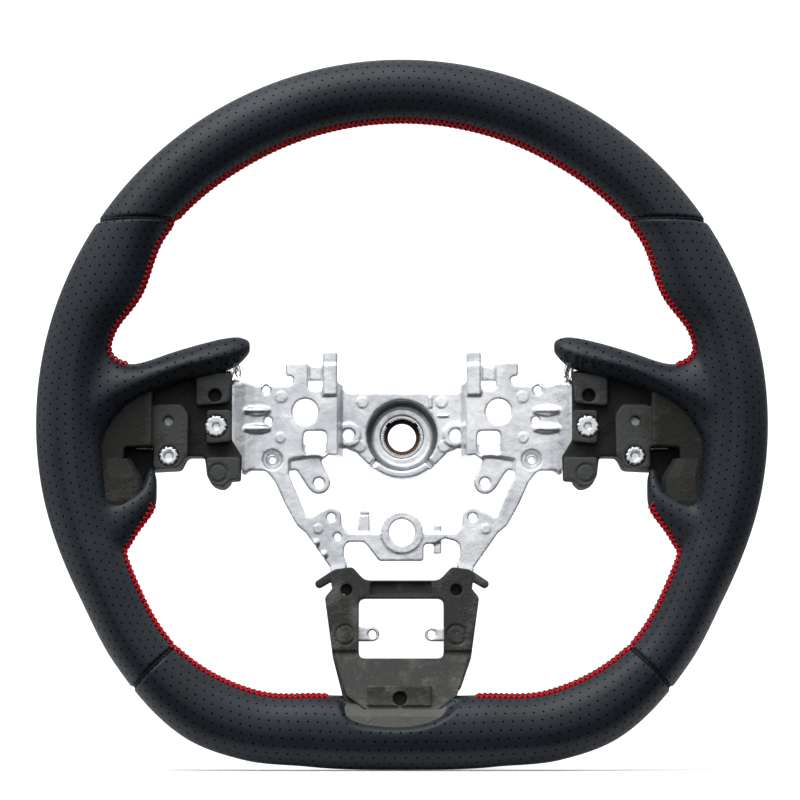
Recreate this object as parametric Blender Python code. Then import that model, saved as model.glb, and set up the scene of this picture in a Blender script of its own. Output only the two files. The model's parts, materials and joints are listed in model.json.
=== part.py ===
"""A bare, leather-covered three-spoke steering wheel with a flattened bottom.

The wheel stands upright. +X is the driver's right, +Z is 12 o'clock and -Y is towards the driver.
The origin is on the column axis, on the rear face of the hub. All sizes below are in millimetres,
and become metres when a mesh is made. Outlines are (x, z, corner radius) points, anticlockwise as
the driver sees them, and a plate runs from its front (lower y) to its back.
"""

import math

import bmesh
import bpy
from mathutils import Vector

MM = 0.001
GAP = 0.3  # clearance between neighbouring pieces
SMOOTH_UP_TO = math.radians(35)
STRAIGHT = math.radians(86)  # half the angle from which a corner counts as straight

# Rim
RIM_CENTRE_Z = 5.4  # the rim's circle is centred a little above the column
RIM_MID_Y = -42.0
RIM_HALF_DEPTH = 16.5
LEATHER = 1.3
FOAM_INSET = 2.5  # from the finished skin: the leather, and room for the facets of both
CORE_RADIUS = 5.0
RIM_SIDES = 12
RIM_STEPS = 44  # facets round the whole wheel
# Polar angle in degrees and radius of the rim's two edges, for its right half
OUTER_EDGE = [(-90, 176.2), (-75, 180.8), (-65, 188.9), (-55, 193.9), (-40, 189.8), (-29, 185.7),
              (-10, 185.7), (90, 185.7)]
INNER_EDGE = [(-90, 138.7), (-74, 144.2), (-62, 155.2), (-45, 161.4), (-29, 156.3), (-10, 152.5),
              (15, 153.5), (26, 147.3), (38, 153.2), (60, 153.0), (90, 153.0)]
UPPER_SEAM = 37.0  # polar angle of the joint between the top panel and a side panel
LEVEL_REACH = 22.0  # that joint runs level, and the sections near it lean towards it
LOWER_SEAM = -45.0
SEAM_GAP = 0.24  # half the joint between two panels, in degrees
PANEL_OVERRUN = 4.0  # the hollow runs past the panel's ends, in degrees
SEAM_THREAD_RADIUS = 0.35
SEAM_THREAD_DEPTH = 0.8
THREAD_RADIUS = 0.8
THREAD_LIFT = 0.8  # clearance over the leather's facets
THREAD_LINE = 161.0  # place of the stitched seam round the rim's section, in degrees
TOP_THREAD_END = 12.0
LOWER_THREAD = (-24.0, -74.0)
SPOKE_REACH = 44.0  # the side pads meet the rim between these polar angles

# Die-cast armature
SIDE_FRONT = -26.0
HUB_FRONT = -16.0
PLATE = 4.0
SIDE_BACK = SIDE_FRONT + PLATE
HUB_BACK = HUB_FRONT + PLATE
THROUGH = (-36.0, -13.0)  # front and back of a cut through any of the forward plates
HUB_RADIUS = 22.3
HUB_SEAT_RADIUS = 17.5
HUB_CHAMFER = 5.0
WELL_RADIUS = 18.5
WELL_FLOOR_RADIUS = 15.2
WELL_FLOOR_Y = -7.0
WELL_WALL_Y = -10.0
HUB_NOTCH = (2.2, 6.0, 1.6)  # width, length and depth of the two marks in the hub's rim
NOTCH_TURN = 45.0
BUSH_RADIUS = 10.6
BUSH_FRONT = -9.5
SERRATION_ROOT = 9.2
SERRATION_TIP = 7.5
SERRATIONS = 24
RING_CENTRE_Z = -50.4
RING_RADIUS = 10.7
RING_HOLE_RADIUS = 6.7
CROSSBAR_TOP = -50.9

# Foam
PAD_BACK = -17.0
LOWER_PAD_BACK = -19.0
PAD_FRONT = -33.5


def material(name, colour, roughness, metallic=0.0):
    """A Principled BSDF material of one finish."""
    made = bpy.data.materials.new(name)
    made.use_nodes = True
    shader = made.node_tree.nodes["Principled BSDF"]
    shader.inputs["Base Color"].default_value = (*colour, 1.0)
    shader.inputs["Roughness"].default_value = roughness
    shader.inputs["Metallic"].default_value = metallic
    return made


def new_object(name, shape):
    """Turns a bmesh in millimetres into an object in metres."""
    bmesh.ops.recalc_face_normals(shape, faces=shape.faces)
    bmesh.ops.scale(shape, vec=(MM, MM, MM), verts=shape.verts)
    mesh = bpy.data.meshes.new(name)
    shape.to_mesh(mesh)
    shape.free()
    made = bpy.data.objects.new(name, mesh)
    bpy.context.scene.collection.objects.link(made)
    return made


def combine(target, tool, operation):
    """Joins a helper solid to an object, or cuts it away, and removes the helper."""
    modifier = target.modifiers.new(operation, "BOOLEAN")
    modifier.operation = operation
    modifier.solver = "MANIFOLD"  # the exact solver leaves open edges in a casting cut this often
    modifier.object = tool
    graph = bpy.context.evaluated_depsgraph_get()
    result = bpy.data.meshes.new_from_object(target.evaluated_get(graph))
    target.modifiers.remove(modifier)
    spent = target.data
    target.data = result
    bpy.data.meshes.remove(spent)
    bpy.data.objects.remove(tool)


def join(target, *tools):
    for tool in tools:
        combine(target, tool, "UNION")


def cut(target, *tools):
    for tool in tools:
        combine(target, tool, "DIFFERENCE")


def finish(target, name, surface):
    """Gives a built-up solid its node name, its material and smooth shading on its round faces."""
    target.name = name
    target.data.materials.clear()
    target.data.materials.append(surface)
    target.data.shade_smooth()
    target.data.set_sharp_from_angle(angle=SMOOTH_UP_TO)


def mirrored(outline):
    """The same outline on the other side of the column, still anticlockwise."""
    return [(-x, z, r) for x, z, r in reversed(outline)]


def rounded(outline):
    """The outline's points, with an arc in place of each corner that has a radius."""
    points = []
    count = len(outline)
    for i, (x, z, radius) in enumerate(outline):
        corner = Vector((x, z))
        before = Vector(outline[i - 1][:2]) - corner
        after = Vector(outline[(i + 1) % count][:2]) - corner
        half = before.angle(after) / 2
        if radius <= 0 or half > STRAIGHT:
            points.append(corner)
            continue
        reach = min(radius / math.tan(half), 0.48 * before.length, 0.48 * after.length)
        start = corner + before.normalized() * reach
        end = corner + after.normalized() * reach
        steps = 1 if radius < 1.5 else 3
        for step in range(steps + 1):
            t = step / steps
            points.append(start * (1 - t) ** 2 + corner * 2 * t * (1 - t) + end * t ** 2)
    return points


def plate(outline, front, back):
    """A flat plate of this outline."""
    shape = bmesh.new()
    points = rounded(outline)
    near = [shape.verts.new((p.x, front, p.y)) for p in points]
    far = [shape.verts.new((p.x, back, p.y)) for p in points]
    shape.faces.new(near)
    shape.faces.new(far)
    for i in range(len(points)):
        j = (i + 1) % len(points)
        shape.faces.new((near[i], near[j], far[j], far[i]))
    shape.normal_update()
    bmesh.ops.triangulate(shape, faces=[f for f in shape.faces if len(f.verts) > 4])
    return new_object("plate", shape)


def loft(rings, closed=False):
    """A solid through rings of points; its ends are capped unless it closes on itself."""
    shape = bmesh.new()
    rows = [[shape.verts.new(p) for p in ring] for ring in rings]
    spans = len(rows) if closed else len(rows) - 1
    for i in range(spans):
        a, b = rows[i], rows[(i + 1) % len(rows)]
        for j in range(len(a)):
            k = (j + 1) % len(a)
            shape.faces.new((a[j], a[k], b[k], b[j]))
    if not closed:
        shape.faces.new(rows[0])
        shape.faces.new(rows[-1])
    return new_object("loft", shape)


def round_sides(radius):
    """How many facets a circle of this radius gets."""
    if radius < 4:
        return 12
    return 20 if radius < 9 else 32


def turned(x, z, profile):
    """A solid turned about an axis along Y, through (y, radius) steps from front to back."""
    sides = round_sides(max(radius for _, radius in profile))
    turns = [2 * math.pi * i / sides for i in range(sides)]
    rings = []
    for y, radius in profile:
        rings.append([(x + radius * math.cos(a), y, z + radius * math.sin(a)) for a in turns])
    return loft(rings)


def disc(x, z, radius, front, back):
    return turned(x, z, [(front, radius), (back, radius)])


def box(x0, x1, y0, y1, z0, z1):
    return plate([(x0, z0, 0), (x1, z0, 0), (x1, z1, 0), (x0, z1, 0)], y0, y1)


def bar(stations, grow=0.0):
    """A bar along X through (x, y middle, thickness, low z, high z) stations."""
    rings = []
    for x, y, thick, low, high in stations:
        half = thick / 2 + grow
        rings.append([(x, y - half, low - grow), (x, y - half, high + grow),
                      (x, y + half, high + grow), (x, y + half, low - grow)])
    return loft(rings)


def leg(stations, grow=0.0):
    """A bar along Z through (z, y middle, thickness, low x, high x) stations."""
    rings = []
    for z, y, thick, low, high in stations:
        half = thick / 2 + grow
        rings.append([(low - grow, y - half, z), (high + grow, y - half, z),
                      (high + grow, y + half, z), (low - grow, y + half, z)])
    return loft(rings)


def pebble(x, y, z, size, sides=10, rows=6):
    """A smooth round lump with the three given half sizes."""
    rings = []
    for row in range(1, rows):
        slope = math.pi * row / rows
        ring = []
        for i in range(sides):
            turn = 2 * math.pi * i / sides
            ring.append((x - size[0] * math.cos(slope),
                         y + size[1] * math.sin(slope) * math.cos(turn),
                         z + size[2] * math.sin(slope) * math.sin(turn)))
        rings.append(ring)
    return loft(rings)


# ---- Rim geometry ----


def curve_through(points, at):
    """A smooth curve through (position, value) points, level at both ends."""
    at = min(max(at, points[0][0]), points[-1][0])
    i = 0
    while i < len(points) - 2 and at > points[i + 1][0]:
        i += 1
    (x0, v0), (x1, v1) = points[i], points[i + 1]

    def slope(k):
        if k in (0, len(points) - 1):
            return 0.0
        return (points[k + 1][1] - points[k - 1][1]) / (points[k + 1][0] - points[k - 1][0])

    span = x1 - x0
    t = (at - x0) / span
    return (v0 * (1 + 2 * t) * (1 - t) ** 2 + slope(i) * span * t * (1 - t) ** 2
            + v1 * t * t * (3 - 2 * t) + slope(i + 1) * span * t * t * (t - 1))


def folded(angle):
    """Any polar angle brought to the right half of the wheel, from -90 to 90."""
    angle = (angle + 90) % 360 - 90
    return 180 - angle if angle > 90 else angle


def level_share(angle):
    """How far a section is turned from radial to level: fully at the upper joints."""
    away = abs(folded(angle) - UPPER_SEAM) / LEVEL_REACH
    return 0.0 if away >= 1 else (1 - away * away) ** 2


def rim_point(angle, round_angle, inset):
    """A point of the rim's skin: angle runs round the wheel, round_angle round its section."""
    outer = curve_through(OUTER_EDGE, folded(angle))
    inner = curve_through(INNER_EDGE, folded(angle))
    middle = (outer + inner) / 2
    side = 1 if (angle + 90) % 360 <= 180 else -1
    radius = middle + ((outer - inner) / 2 - inset) * math.cos(math.radians(round_angle))
    radial = math.radians(folded(angle))
    level = math.asin(max(-1.0, min(1.0, middle * math.sin(radial) / radius)))
    turn = radial + level_share(angle) * (level - radial)
    return (side * radius * math.cos(turn),
            RIM_MID_Y - (RIM_HALF_DEPTH - inset) * math.sin(math.radians(round_angle)),
            RIM_CENTRE_Z + radius * math.sin(turn))


def section(angle, inset):
    return [rim_point(angle, 360 * k / RIM_SIDES, inset) for k in range(RIM_SIDES)]


def rim_length(start, end, inset):
    """A solid length of rim between two polar angles, inset from the finished skin."""
    steps = math.ceil((end - start) / 360 * RIM_STEPS)
    angles = [start + (end - start) * i / steps for i in range(steps + 1)]
    return loft([section(a, inset) for a in angles])


def core_section(angle, grow):
    """A section of the core, in the middle of the rim."""
    outer = curve_through(OUTER_EDGE, folded(angle))
    inner = curve_through(INNER_EDGE, folded(angle))
    middle = (outer + inner) / 2
    turn = math.radians(angle)
    points = []
    for k in range(6):
        a = math.radians(60 * k)
        radius = middle + (CORE_RADIUS + grow) * math.cos(a)
        points.append((radius * math.cos(turn), RIM_MID_Y - (CORE_RADIUS + grow) * math.sin(a),
                       RIM_CENTRE_Z + radius * math.sin(turn)))
    return points


def ring_of(make_section):
    return loft([make_section(360 * i / RIM_STEPS) for i in range(RIM_STEPS)], closed=True)


# ---- Spoke wings and arms ----

# (x, centre z, half height, centre y, half depth) of the left leather wing, from rim to tip
WING = [(-162.0, 14.0, 12.0, -42.0, 12.0), (-138.0, 22.0, 10.0, -42.0, 12.0),
        (-122.0, 31.0, 8.5, -41.0, 11.5), (-104.0, 37.5, 8.0, -39.5, 10.5),
        (-90.0, 41.0, 8.0, -38.0, 9.5), (-82.0, 42.5, 6.3, -37.0, 8.0), (-78.0, 43.5, 2.8, -36.5, 4.0)]
# The smaller web of leather under the spoke, as (z, centre x, half width, centre y, half depth)
WEB = [(-14.0, -147.0, 12.0, -41.0, 7.0), (-24.0, -144.0, 15.0, -41.0, 9.5),
       (-36.0, -144.5, 16.5, -41.5, 10.5), (-47.0, -148.0, 11.0, -42.0, 9.5)]
# (x, y middle, thickness, low z, high z) of the left arm, from the plate out to the core
ARM = [(-75.0, -24.0, 4.0, -17.0, 25.0), (-80.5, -25.2, 4.0, -20.0, 26.5),
       (-86.0, -27.4, 4.0, -14.0, 26.0), (-100.0, -28.4, 4.4, -9.0, 16.0),
       (-128.0, -30.6, 5.0, -9.0, 12.0), (-148.0, -37.0, 6.0, -8.0, 9.0),
       (-163.0, -42.0, 7.0, -7.0, 7.0)]
# (z, y middle, thickness, low x, high x) of the right leg, from the crossbar down to the core
LEG = [(-66.0, -24.0, 4.0, 28.2, 36.8), (-78.0, -25.5, 4.5, 29.0, 36.0),
       (-112.0, -31.5, 5.0, 25.5, 31.0), (-146.0, -42.0, 6.0, 20.0, 26.0)]


def flipped(stations, low, high):
    """Bar or leg stations mirrored in X: low and high are the columns that hold x values."""
    result = []
    for row in stations:
        row = list(row)
        row[low], row[high] = -row[high], -row[low]
        result.append(tuple(row))
    return result


def arm(side, grow=0.0):
    stations = [(-x * side, y, t, low, high) for x, y, t, low, high in ARM]
    if grow:
        x, y, t, low, high = stations[-1]
        stations.append((x + 2.0 * side, y, t, low, high))
    return bar(stations, grow)


def spoke_leg(side, grow=0.0):
    stations = LEG if side > 0 else flipped(LEG, 3, 4)
    if grow:
        stations = stations + [(stations[-1][0] - 2.0, *stations[-1][1:])]
    return leg(stations, grow)


def wing(side, inset):
    rings = []
    for x, z, tall, y, deep in WING:
        ring = []
        for k in range(10):
            a = 2 * math.pi * k / 10
            ring.append((-x * side, y + max(deep - inset, 0.8) * math.cos(a),
                         z + max(tall - inset, 0.6) * math.sin(a)))
        rings.append(ring)
    if inset > 0:
        rings = rings[:-1]
    return loft(rings)


def web(side, inset):
    rings = []
    for z, x, wide, y, deep in WEB:
        turns = [2 * math.pi * k / 10 for k in range(10)]
        rings.append([(-x * side + (wide - inset) * math.cos(a),
                       y + (deep - inset) * math.sin(a), z) for a in turns])
    return loft(rings)


# ---- Armature ----

SIDE_PLATE = [(-87.1, -2.6, 3), (-81.9, -10.4, 2), (-81.9, -22.7, 1), (-77.4, -19.1, 3),
              (-69.5, -19.1, 3), (-64.0, -26.0, 0), (-57.8, -24.0, 0), (-57.8, -13.0, 0),
              (-42.6, -10.6, 0),
              (-40.6, -13.2, 0), (-34.0, -8.0, 1), (-33.1, 42.6, 1), (-40.6, 42.6, 1),
              (-40.6, 22.6, 2.5), (-48.3, 22.6, 2.5), (-48.3, 36.8, 1), (-59.6, 36.8, 1.6),
              (-59.6, 29.7, 1), (-55.6, 29.7, 1), (-56.2, 25.2, 3), (-74.0, 24.6, 2),
              (-87.2, 28.9, 1)]
HUB_PLATE = [(-40.0, -11.5, 0), (-35.4, -6.8, 3), (-29.0, -6.8, 4), (-23.5, -9.0, 4), (-15.0, -17.5, 0),
             (15.0, -17.5, 0), (23.5, -9.0, 4), (29.0, -6.8, 4), (35.4, -6.8, 3), (40.0, -11.5, 0),
             (32.4, 0.0, 0), (32.0, 26.0, 0), (29.0, 22.3, 3), (-29.0, 22.3, 3), (-32.0, 26.0, 0),
             (-32.4, 0.0, 0)]
TAB = [(-57.8, -9.0, 0), (-57.8, -19.2, 0), (-54.4, -18.2, 2.2), (-47.7, -28.4, 0), (-37.6, -21.8, 0),
       (-43.6, -9.0, 0)]
ARM_OUTER = [(-69.0, -14.0, 0), (-66.2, -22.0, 4), (-59.8, -36.3, 0), (-53.8, -47.0, 4),
             (-49.2, -50.8, 3), (-37.2, -67.9, 0), (-27.8, -67.9, 0), (-29.8, -62.0, 3),
             (-29.2, -55.5, 4)]
ARM_INNER = [(-57.8, -12.0, 0), (-57.8, -21.0, 4), (-48.4, -43.4, 2.5), (-38.6, -38.2, 0),
             (-31.6, -40.0, 0), (-30.6, -47.4, 2), (-27.4, CROSSBAR_TOP, 3)]
LEFT_SILL = [(-19.4, -55.3, 4), (-11.7, -65.2, 1.2)]
RIGHT_SILL = [(11.1, -65.2, 1.5), (11.1, -56.4, 1.2), (16.2, -56.4, 1), (21.8, -53.6, 2)]


# The features below are given for the right of the wheel and repeated on the left.
# Round bosses as (x, z, radius, front y, back y)
BOSSES = [(42.6, -25.0, 5.9, -23.8, -20.8), (69.7, 22.6, 4.3, -25.6, -22.0),
          (66.4, -13.3, 6.8, -24.0, -18.0), (36.2, -42.8, 5.3, -26.0, -22.0),
          (15.0, -102.5, 3.7, -31.0, -28.4), (27.6, 0.3, 6.0, -16.6, -8.0)]
# Square posts, lugs and tongues as (low x, high x, front y, back y, low z, high z)
LUGS = [(40.2, 48.7, -23.0, -19.0, 27.6, 35.4), (33.4, 40.3, -27.2, -24.0, 20.0, 35.6),
        (15.2, 29.0, -31.0, -28.4, -106.2, -98.8)]
STRENGTHENING_RIBS = [(75.6, 11.9), (75.6, 2.6)]
RIB_SIZE = (8.6, 2.6, 2.2)
# Holes as (x, z, radius)
HOLES = [(49.6, 11.5, 6.6), (69.7, 22.6, 2.2), (68.6, 6.7, 2.1), (42.6, -25.0, 2.5), (36.2, -42.8, 2.2),
         (15.0, -102.5, 2.0)]
CUP = (66.4, -13.3, 5.0, -23.4)  # x, z, radius and floor y of the round pocket
CUP_POST = (3.0, 1.8, -25.4)  # radius, hole radius and front y of the post in it
SCREW_HOLE = (27.6, 0.3, 3.1, -6.0)  # x, z, radius and depth of the hole beside the hub
SLOT = [(38.6, -10.7, 2.6), (50.5, -10.7, 2.6), (50.5, 1.5, 2.6), (38.6, 1.5, 2.6)]
# (low x, high x) of the spring ramp in the slot, and its (front y, back y, z) at each end
RAMP_SPAN = (38.0, 51.0)
RAMP_ENDS = [(-24.8, -23.0, -11.4), (-22.2, -20.6, -5.2)]
# (y, inner x, outer x) of the step between a side plate and the hub plate, and its z range
STEP_WALL = [(SIDE_FRONT, 32.9, 36.8), (HUB_BACK, 30.4, 34.6)]
STEP_RANGE = (-11.0, 26.5)

# These are on one side only
LEFT_POST = [(-23.0, -52.0, 0), (-16.2, -52.0, 0), (-16.7, -39.0, 0.8), (-21.3, -39.0, 0.8)]
RIGHT_POST = (16.2, 20.2, -25.2, -22.6, -61.4, -46.6)
POST_SLIT = (-24.0, -15.0, -27.0, -24.5, -41.9, -41.0)
LEFT_PIPS = [(-43.9, -55.9), (-40.0, -61.9)]
PIP_RADIUS = 1.3
PIP_HEIGHT = 1.2
LEFT_RELIEF = (-33.0, -52.7, 1.8)


def on_side(outline, side):
    """An outline given for the right of the wheel, on the side asked for."""
    return outline if side > 0 else mirrored(outline)


def box_on_side(side, x0, x1, *rest):
    return box(*sorted((x0 * side, x1 * side)), *rest)


def side_plates(frame):
    """The two plates that carry the driver's airbag module, with their hooks, posts and ribs."""
    for side in (-1, 1):
        join(frame, plate(on_side(SIDE_PLATE, -side), SIDE_FRONT, SIDE_BACK))
        join(frame, plate(on_side(TAB, -side), SIDE_FRONT + 2.2, SIDE_BACK + 1.2))
        join(frame, arm(side))
        for x, z in STRENGTHENING_RIBS:
            join(frame, pebble(x * side, SIDE_FRONT, z, RIB_SIZE))


def step_walls(frame):
    """The walls that step from the side plates back to the hub plate."""
    low, high = STEP_RANGE
    for side in (-1, 1):
        wall = []
        for y, inner, outer in STEP_WALL:
            left, right = sorted((inner * side, outer * side))
            wall.append([(left, y, low), (right, y, low), (right, y, high), (left, y, high)])
        join(frame, loft(wall))


def lower_frame(frame):
    """The V of two arms and the crossbar with its ring, ears and small posts."""
    outline = (ARM_OUTER + LEFT_SILL + RIGHT_SILL + mirrored(ARM_OUTER) + mirrored(ARM_INNER)[::-1]
               + ARM_INNER[::-1])
    join(frame, plate(outline, SIDE_FRONT, SIDE_BACK))
    join(frame, disc(0.0, RING_CENTRE_Z, RING_RADIUS, SIDE_FRONT - 0.4, SIDE_BACK))
    join(frame, spoke_leg(-1), spoke_leg(1))
    join(frame, plate(LEFT_POST, SIDE_FRONT + 0.8, SIDE_BACK - 0.6))
    join(frame, box(*RIGHT_POST))
    for x, z in LEFT_PIPS:
        join(frame, disc(x, z, PIP_RADIUS, SIDE_FRONT - PIP_HEIGHT, SIDE_BACK))


def hub(frame):
    """The cast hub round the steel bush: a boss, its well and its rear seat."""
    join(frame, turned(0, 0, [(HUB_FRONT, HUB_RADIUS), (-HUB_CHAMFER, HUB_RADIUS),
                              (0.0, HUB_SEAT_RADIUS)]))
    cut(frame, turned(0, 0, [(HUB_FRONT - 1, WELL_RADIUS + 0.4), (WELL_WALL_Y, WELL_FLOOR_RADIUS + 1),
                             (WELL_FLOOR_Y, WELL_FLOOR_RADIUS)]))
    cut(frame, disc(0, 0, BUSH_RADIUS + GAP, HUB_FRONT, 1))
    width, length, depth = HUB_NOTCH
    for side in (-1, 1):
        turn = math.radians(NOTCH_TURN) * side
        outline = []
        for x, z in ((-1, 0), (1, 0), (1, 1), (-1, 1)):
            x = x * width / 2
            z = z * length - HUB_RADIUS - 1.5
            outline.append((x * math.cos(turn) - z * math.sin(turn),
                            x * math.sin(turn) + z * math.cos(turn), 0))
        cut(frame, plate(outline, HUB_FRONT - 1, HUB_FRONT + depth))


def bosses(frame):
    """The round bosses, square lugs and tongues, the same on both sides."""
    for side in (-1, 1):
        for x, z, radius, front, back in BOSSES:
            join(frame, disc(x * side, z, radius, front, back))
        for lug in LUGS:
            join(frame, box_on_side(side, *lug))


def frame_holes(frame):
    """Every hole, pocket and slit of the casting."""
    for side in (-1, 1):
        for x, z, radius in HOLES:
            cut(frame, disc(x * side, z, radius, *THROUGH))
        cut(frame, plate(on_side(SLOT, side), *THROUGH))
        x, z, radius, depth = SCREW_HOLE
        cut(frame, disc(x * side, z, radius, HUB_FRONT - 1, depth))
        x, z, radius, floor = CUP
        post, bore, front = CUP_POST
        cut(frame, disc(x * side, z, radius, THROUGH[0], floor))
        join(frame, disc(x * side, z, post, front, SIDE_BACK))
        cut(frame, disc(x * side, z, bore, *THROUGH))
        ramp = []
        for x in sorted(x * side for x in RAMP_SPAN):
            (near_y, near_back, near_z), (far_y, far_back, far_z) = RAMP_ENDS
            ramp.append([(x, near_y, near_z), (x, near_back, near_z),
                         (x, far_back, far_z), (x, far_y, far_z)])
        join(frame, loft(ramp))
    cut(frame, disc(0.0, RING_CENTRE_Z, RING_HOLE_RADIUS, *THROUGH))
    x, z, radius = LEFT_RELIEF
    cut(frame, disc(x, z, radius, *THROUGH))
    cut(frame, box(*POST_SLIT))


def armature(aluminium):
    frame = plate(HUB_PLATE, HUB_FRONT, HUB_BACK)
    step_walls(frame)
    side_plates(frame)
    lower_frame(frame)
    bosses(frame)
    hub(frame)
    frame_holes(frame)
    finish(frame, "armature_casting", aluminium)


def spline_bush(steel):
    """The serrated steel bush that the casting is poured round."""
    body = disc(0, 0, BUSH_RADIUS, BUSH_FRONT, 0.0)
    points = []
    for i in range(SERRATIONS * 2):
        a = math.pi * i / SERRATIONS
        radius = SERRATION_ROOT if i % 2 else SERRATION_TIP
        points.append((radius * math.cos(a), radius * math.sin(a), 0))
    cut(body, plate(points, BUSH_FRONT - 1, 1))
    finish(body, "hub_spline_bush", steel)


def insert(name, x, z, radius, hole, front, aluminium):
    """A threaded boss that shows through the foam of a side pad."""
    body = turned(x, z, [(front, radius - INSERT_CHAMFER), (front + INSERT_CHAMFER, radius),
                         (front + INSERT_DEPTH, radius)])
    cut(body, disc(x, z, hole, front - 1, front + INSERT_DEPTH + 1))
    finish(body, name, aluminium)


# ---- Foam ----

SIDE_PAD = [(-86.9, -3.5, 2), (-86.9, 32.0, 2), (-103.0, 31.0, 6), (-127.5, 23.0, 6), (-140.0, 18.0, 6),
            (-148.5, 6.0, 8), (-153.4, -12.0, 8), (-149.1, -27.0, 8), (-143.0, -35.2, 2),
            (-133.6, -31.0, 3), (-131.3, -25.0, 2), (-129.5, -19.6, 1), (-113.0, -18.8, 3),
            (-109.8, -12.2, 3), (-100.6, -12.2, 2), (-99.4, -22.0, 2), (-96.8, -27.0, 4),
            (-91.0, -29.2, 4), (-87.0, -25.0, 2), (-82.2, -24.8, 0.8), (-81.7, -11.9, 1)][::-1]
# (outline, front y) of the blocks that stand up from the pad
PAD_BLOCKS = [
    ([(-126.2, -19.2, 2), (-113.2, -18.4, 3), (-108.9, -11.0, 3), (-108.7, 9.0, 4), (-112.0, 13.9, 3),
      (-126.0, 13.9, 2)], -40.0),
    ([(-104.7, 13.2, 2), (-88.2, 14.8, 3), (-87.2, 30.4, 1), (-104.7, 29.6, 2)], -39.4),
    ([(-99.4, -6.0, 1), (-87.2, -5.0, 1), (-87.2, 11.2, 1), (-99.4, 11.2, 1)], -38.6),
    ([(-99.2, -20.0, 1), (-97.0, -26.4, 4), (-91.0, -28.8, 4), (-87.0, -24.6, 2), (-82.6, -24.4, 1),
      (-82.6, -13.0, 1), (-99.4, -13.0, 1)], -38.6),
    ([(-153.2, -13.0, 8), (-149.0, -27.0, 8), (-143.0, -35.0, 2), (-134.4, -30.0, 2), (-141.0, -21.0, 4),
      (-141.0, -8.0, 2), (-127.0, -7.4, 1), (-127.0, 22.6, 2), (-140.0, 18.0, 6),
      (-148.3, 6.0, 8)], -44.0)]
PAD_HOLE = (118.8, 5.5, 2.5)
PAD_BLIND_HOLE = (95.2, 18.6, 3.5)
# (x, z, radius, hole radius, front y) of the threaded bosses in each side pad
INSERTS = {"upper": (94.6, 2.9, 5.6, 2.0, -39.2), "lower": (118.5, -12.4, 4.9, 2.5, -40.6)}
INSERT_DEPTH = 5.0
INSERT_CHAMFER = 0.8
PAD_CUT = (-50.0, -10.0)  # front and back of a cut through a side pad
BLIND_HOLE_Y = -34.0
# The side plate's edge passes behind the pad here, as low x, high x, low z and high z
PLATE_REST = (70.0, 87.5, -40.0, 40.0)


def side_pad(side, name, foam):
    """The moulded foam over a 3 or 9 o'clock arm, with its switch seats."""
    pad = plate(on_side(SIDE_PAD, -side), PAD_FRONT, PAD_BACK)
    for points, front in PAD_BLOCKS:
        join(pad, plate(on_side(points, -side), front, PAD_FRONT + 2))
    x, z, radius = PAD_HOLE
    cut(pad, disc(x * side, z, radius, *PAD_CUT))
    x, z, radius = PAD_BLIND_HOLE
    cut(pad, disc(x * side, z, radius, PAD_CUT[0], BLIND_HOLE_Y))
    for x, z, radius, _, front in INSERTS.values():
        cut(pad, disc(x * side, z, radius + GAP, PAD_CUT[0], front + INSERT_DEPTH + GAP))
    inner, outer, low, high = PLATE_REST
    cut(pad, box_on_side(side, inner, outer, SIDE_FRONT - 1.5, PAD_BACK + 1, low, high))
    cut(pad, arm(side, GAP))
    start = 180 if side < 0 else 0
    cut(pad, rim_length(start - SPOKE_REACH, start + SPOKE_REACH, -GAP))
    cut(pad, wing(side, -GAP), web(side, -GAP))
    finish(pad, name, foam)


LOWER_PAD = [(-28.9, -139.0, 3), (-20.0, -143.2, 6), (0.0, -144.2, 0), (16.0, -140.5, 6),
             (29.6, -130.5, 4), (35.0, -114.8, 6), (39.2, -84.0, 3), (35.2, -79.2, 2), (36.3, -70.0, 3),
             (25.2, -68.4, 3), (19.0, -75.3, 6), (-19.0, -75.3, 6), (-25.2, -68.4, 3), (-36.3, -70.0, 3),
             (-35.2, -79.2, 2), (-39.2, -84.0, 3), (-35.0, -114.8, 6), (-30.8, -131.0, 4)]
LOWER_WINDOW = [(-22.0, -114.8, 3), (21.2, -114.8, 3), (21.2, -84.4, 3), (-22.0, -84.4, 3)]
LOWER_PAD_FRONT = -35.5
SWELL_BACK = -26.0
# (z, front y, half width) of the swelling that meets the rim below the window
SWELL = [(-110.0, -34.0, 34.5), (-122.0, -41.0, 31.6), (-134.0, -48.5, 27.5), (-144.0, -52.0, 14.0)]
SWELL_BOSS = (-17.2, 14.7, -51.6, -30.0, -138.6, -128.6)
# The clearance where the pad runs under the rim's leather
RIM_SEAT = [(-31.4, -126.0, 0), (-29.6, -140.4, 0), (-20.0, -144.6, 0), (0.0, -145.6, 0),
            (17.0, -142.0, 0), (32.0, -126.0, 0)]
RIM_SEAT_FRONT = -44.0
HOOK = [(35.0, -69.8, 0.8), (45.0, -76.4, 1.2), (42.8, -79.8, 1.2), (36.4, -76.2, 1), (34.0, -75.8, 0)]
HOOK_SPAN = (-31.0, -25.0)
TOP_GROOVE = (-16.0, 15.0, -40.0, -32.6, -83.2, -76.4)
# (x, z, radius, floor y) of the three blind holes in the lower pad's face
LOWER_HOLES = [(-28.2, -80.2, 3.0, -29.0), (27.6, -80.2, 3.0, -29.0), (-1.0, -135.1, 3.6, -44.0)]
LOWER_CUT = (-60.0, -10.0)
TONGUE_SLOT = (18.0, 31.0, -31.0, -28.4, -106.2, -98.8)


def grown_box(grow, x0, x1, y0, y1, z0, z1):
    return box(x0 - grow, x1 + grow, y0 - grow, y1 + grow, z0 - grow, z1 + grow)


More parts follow.
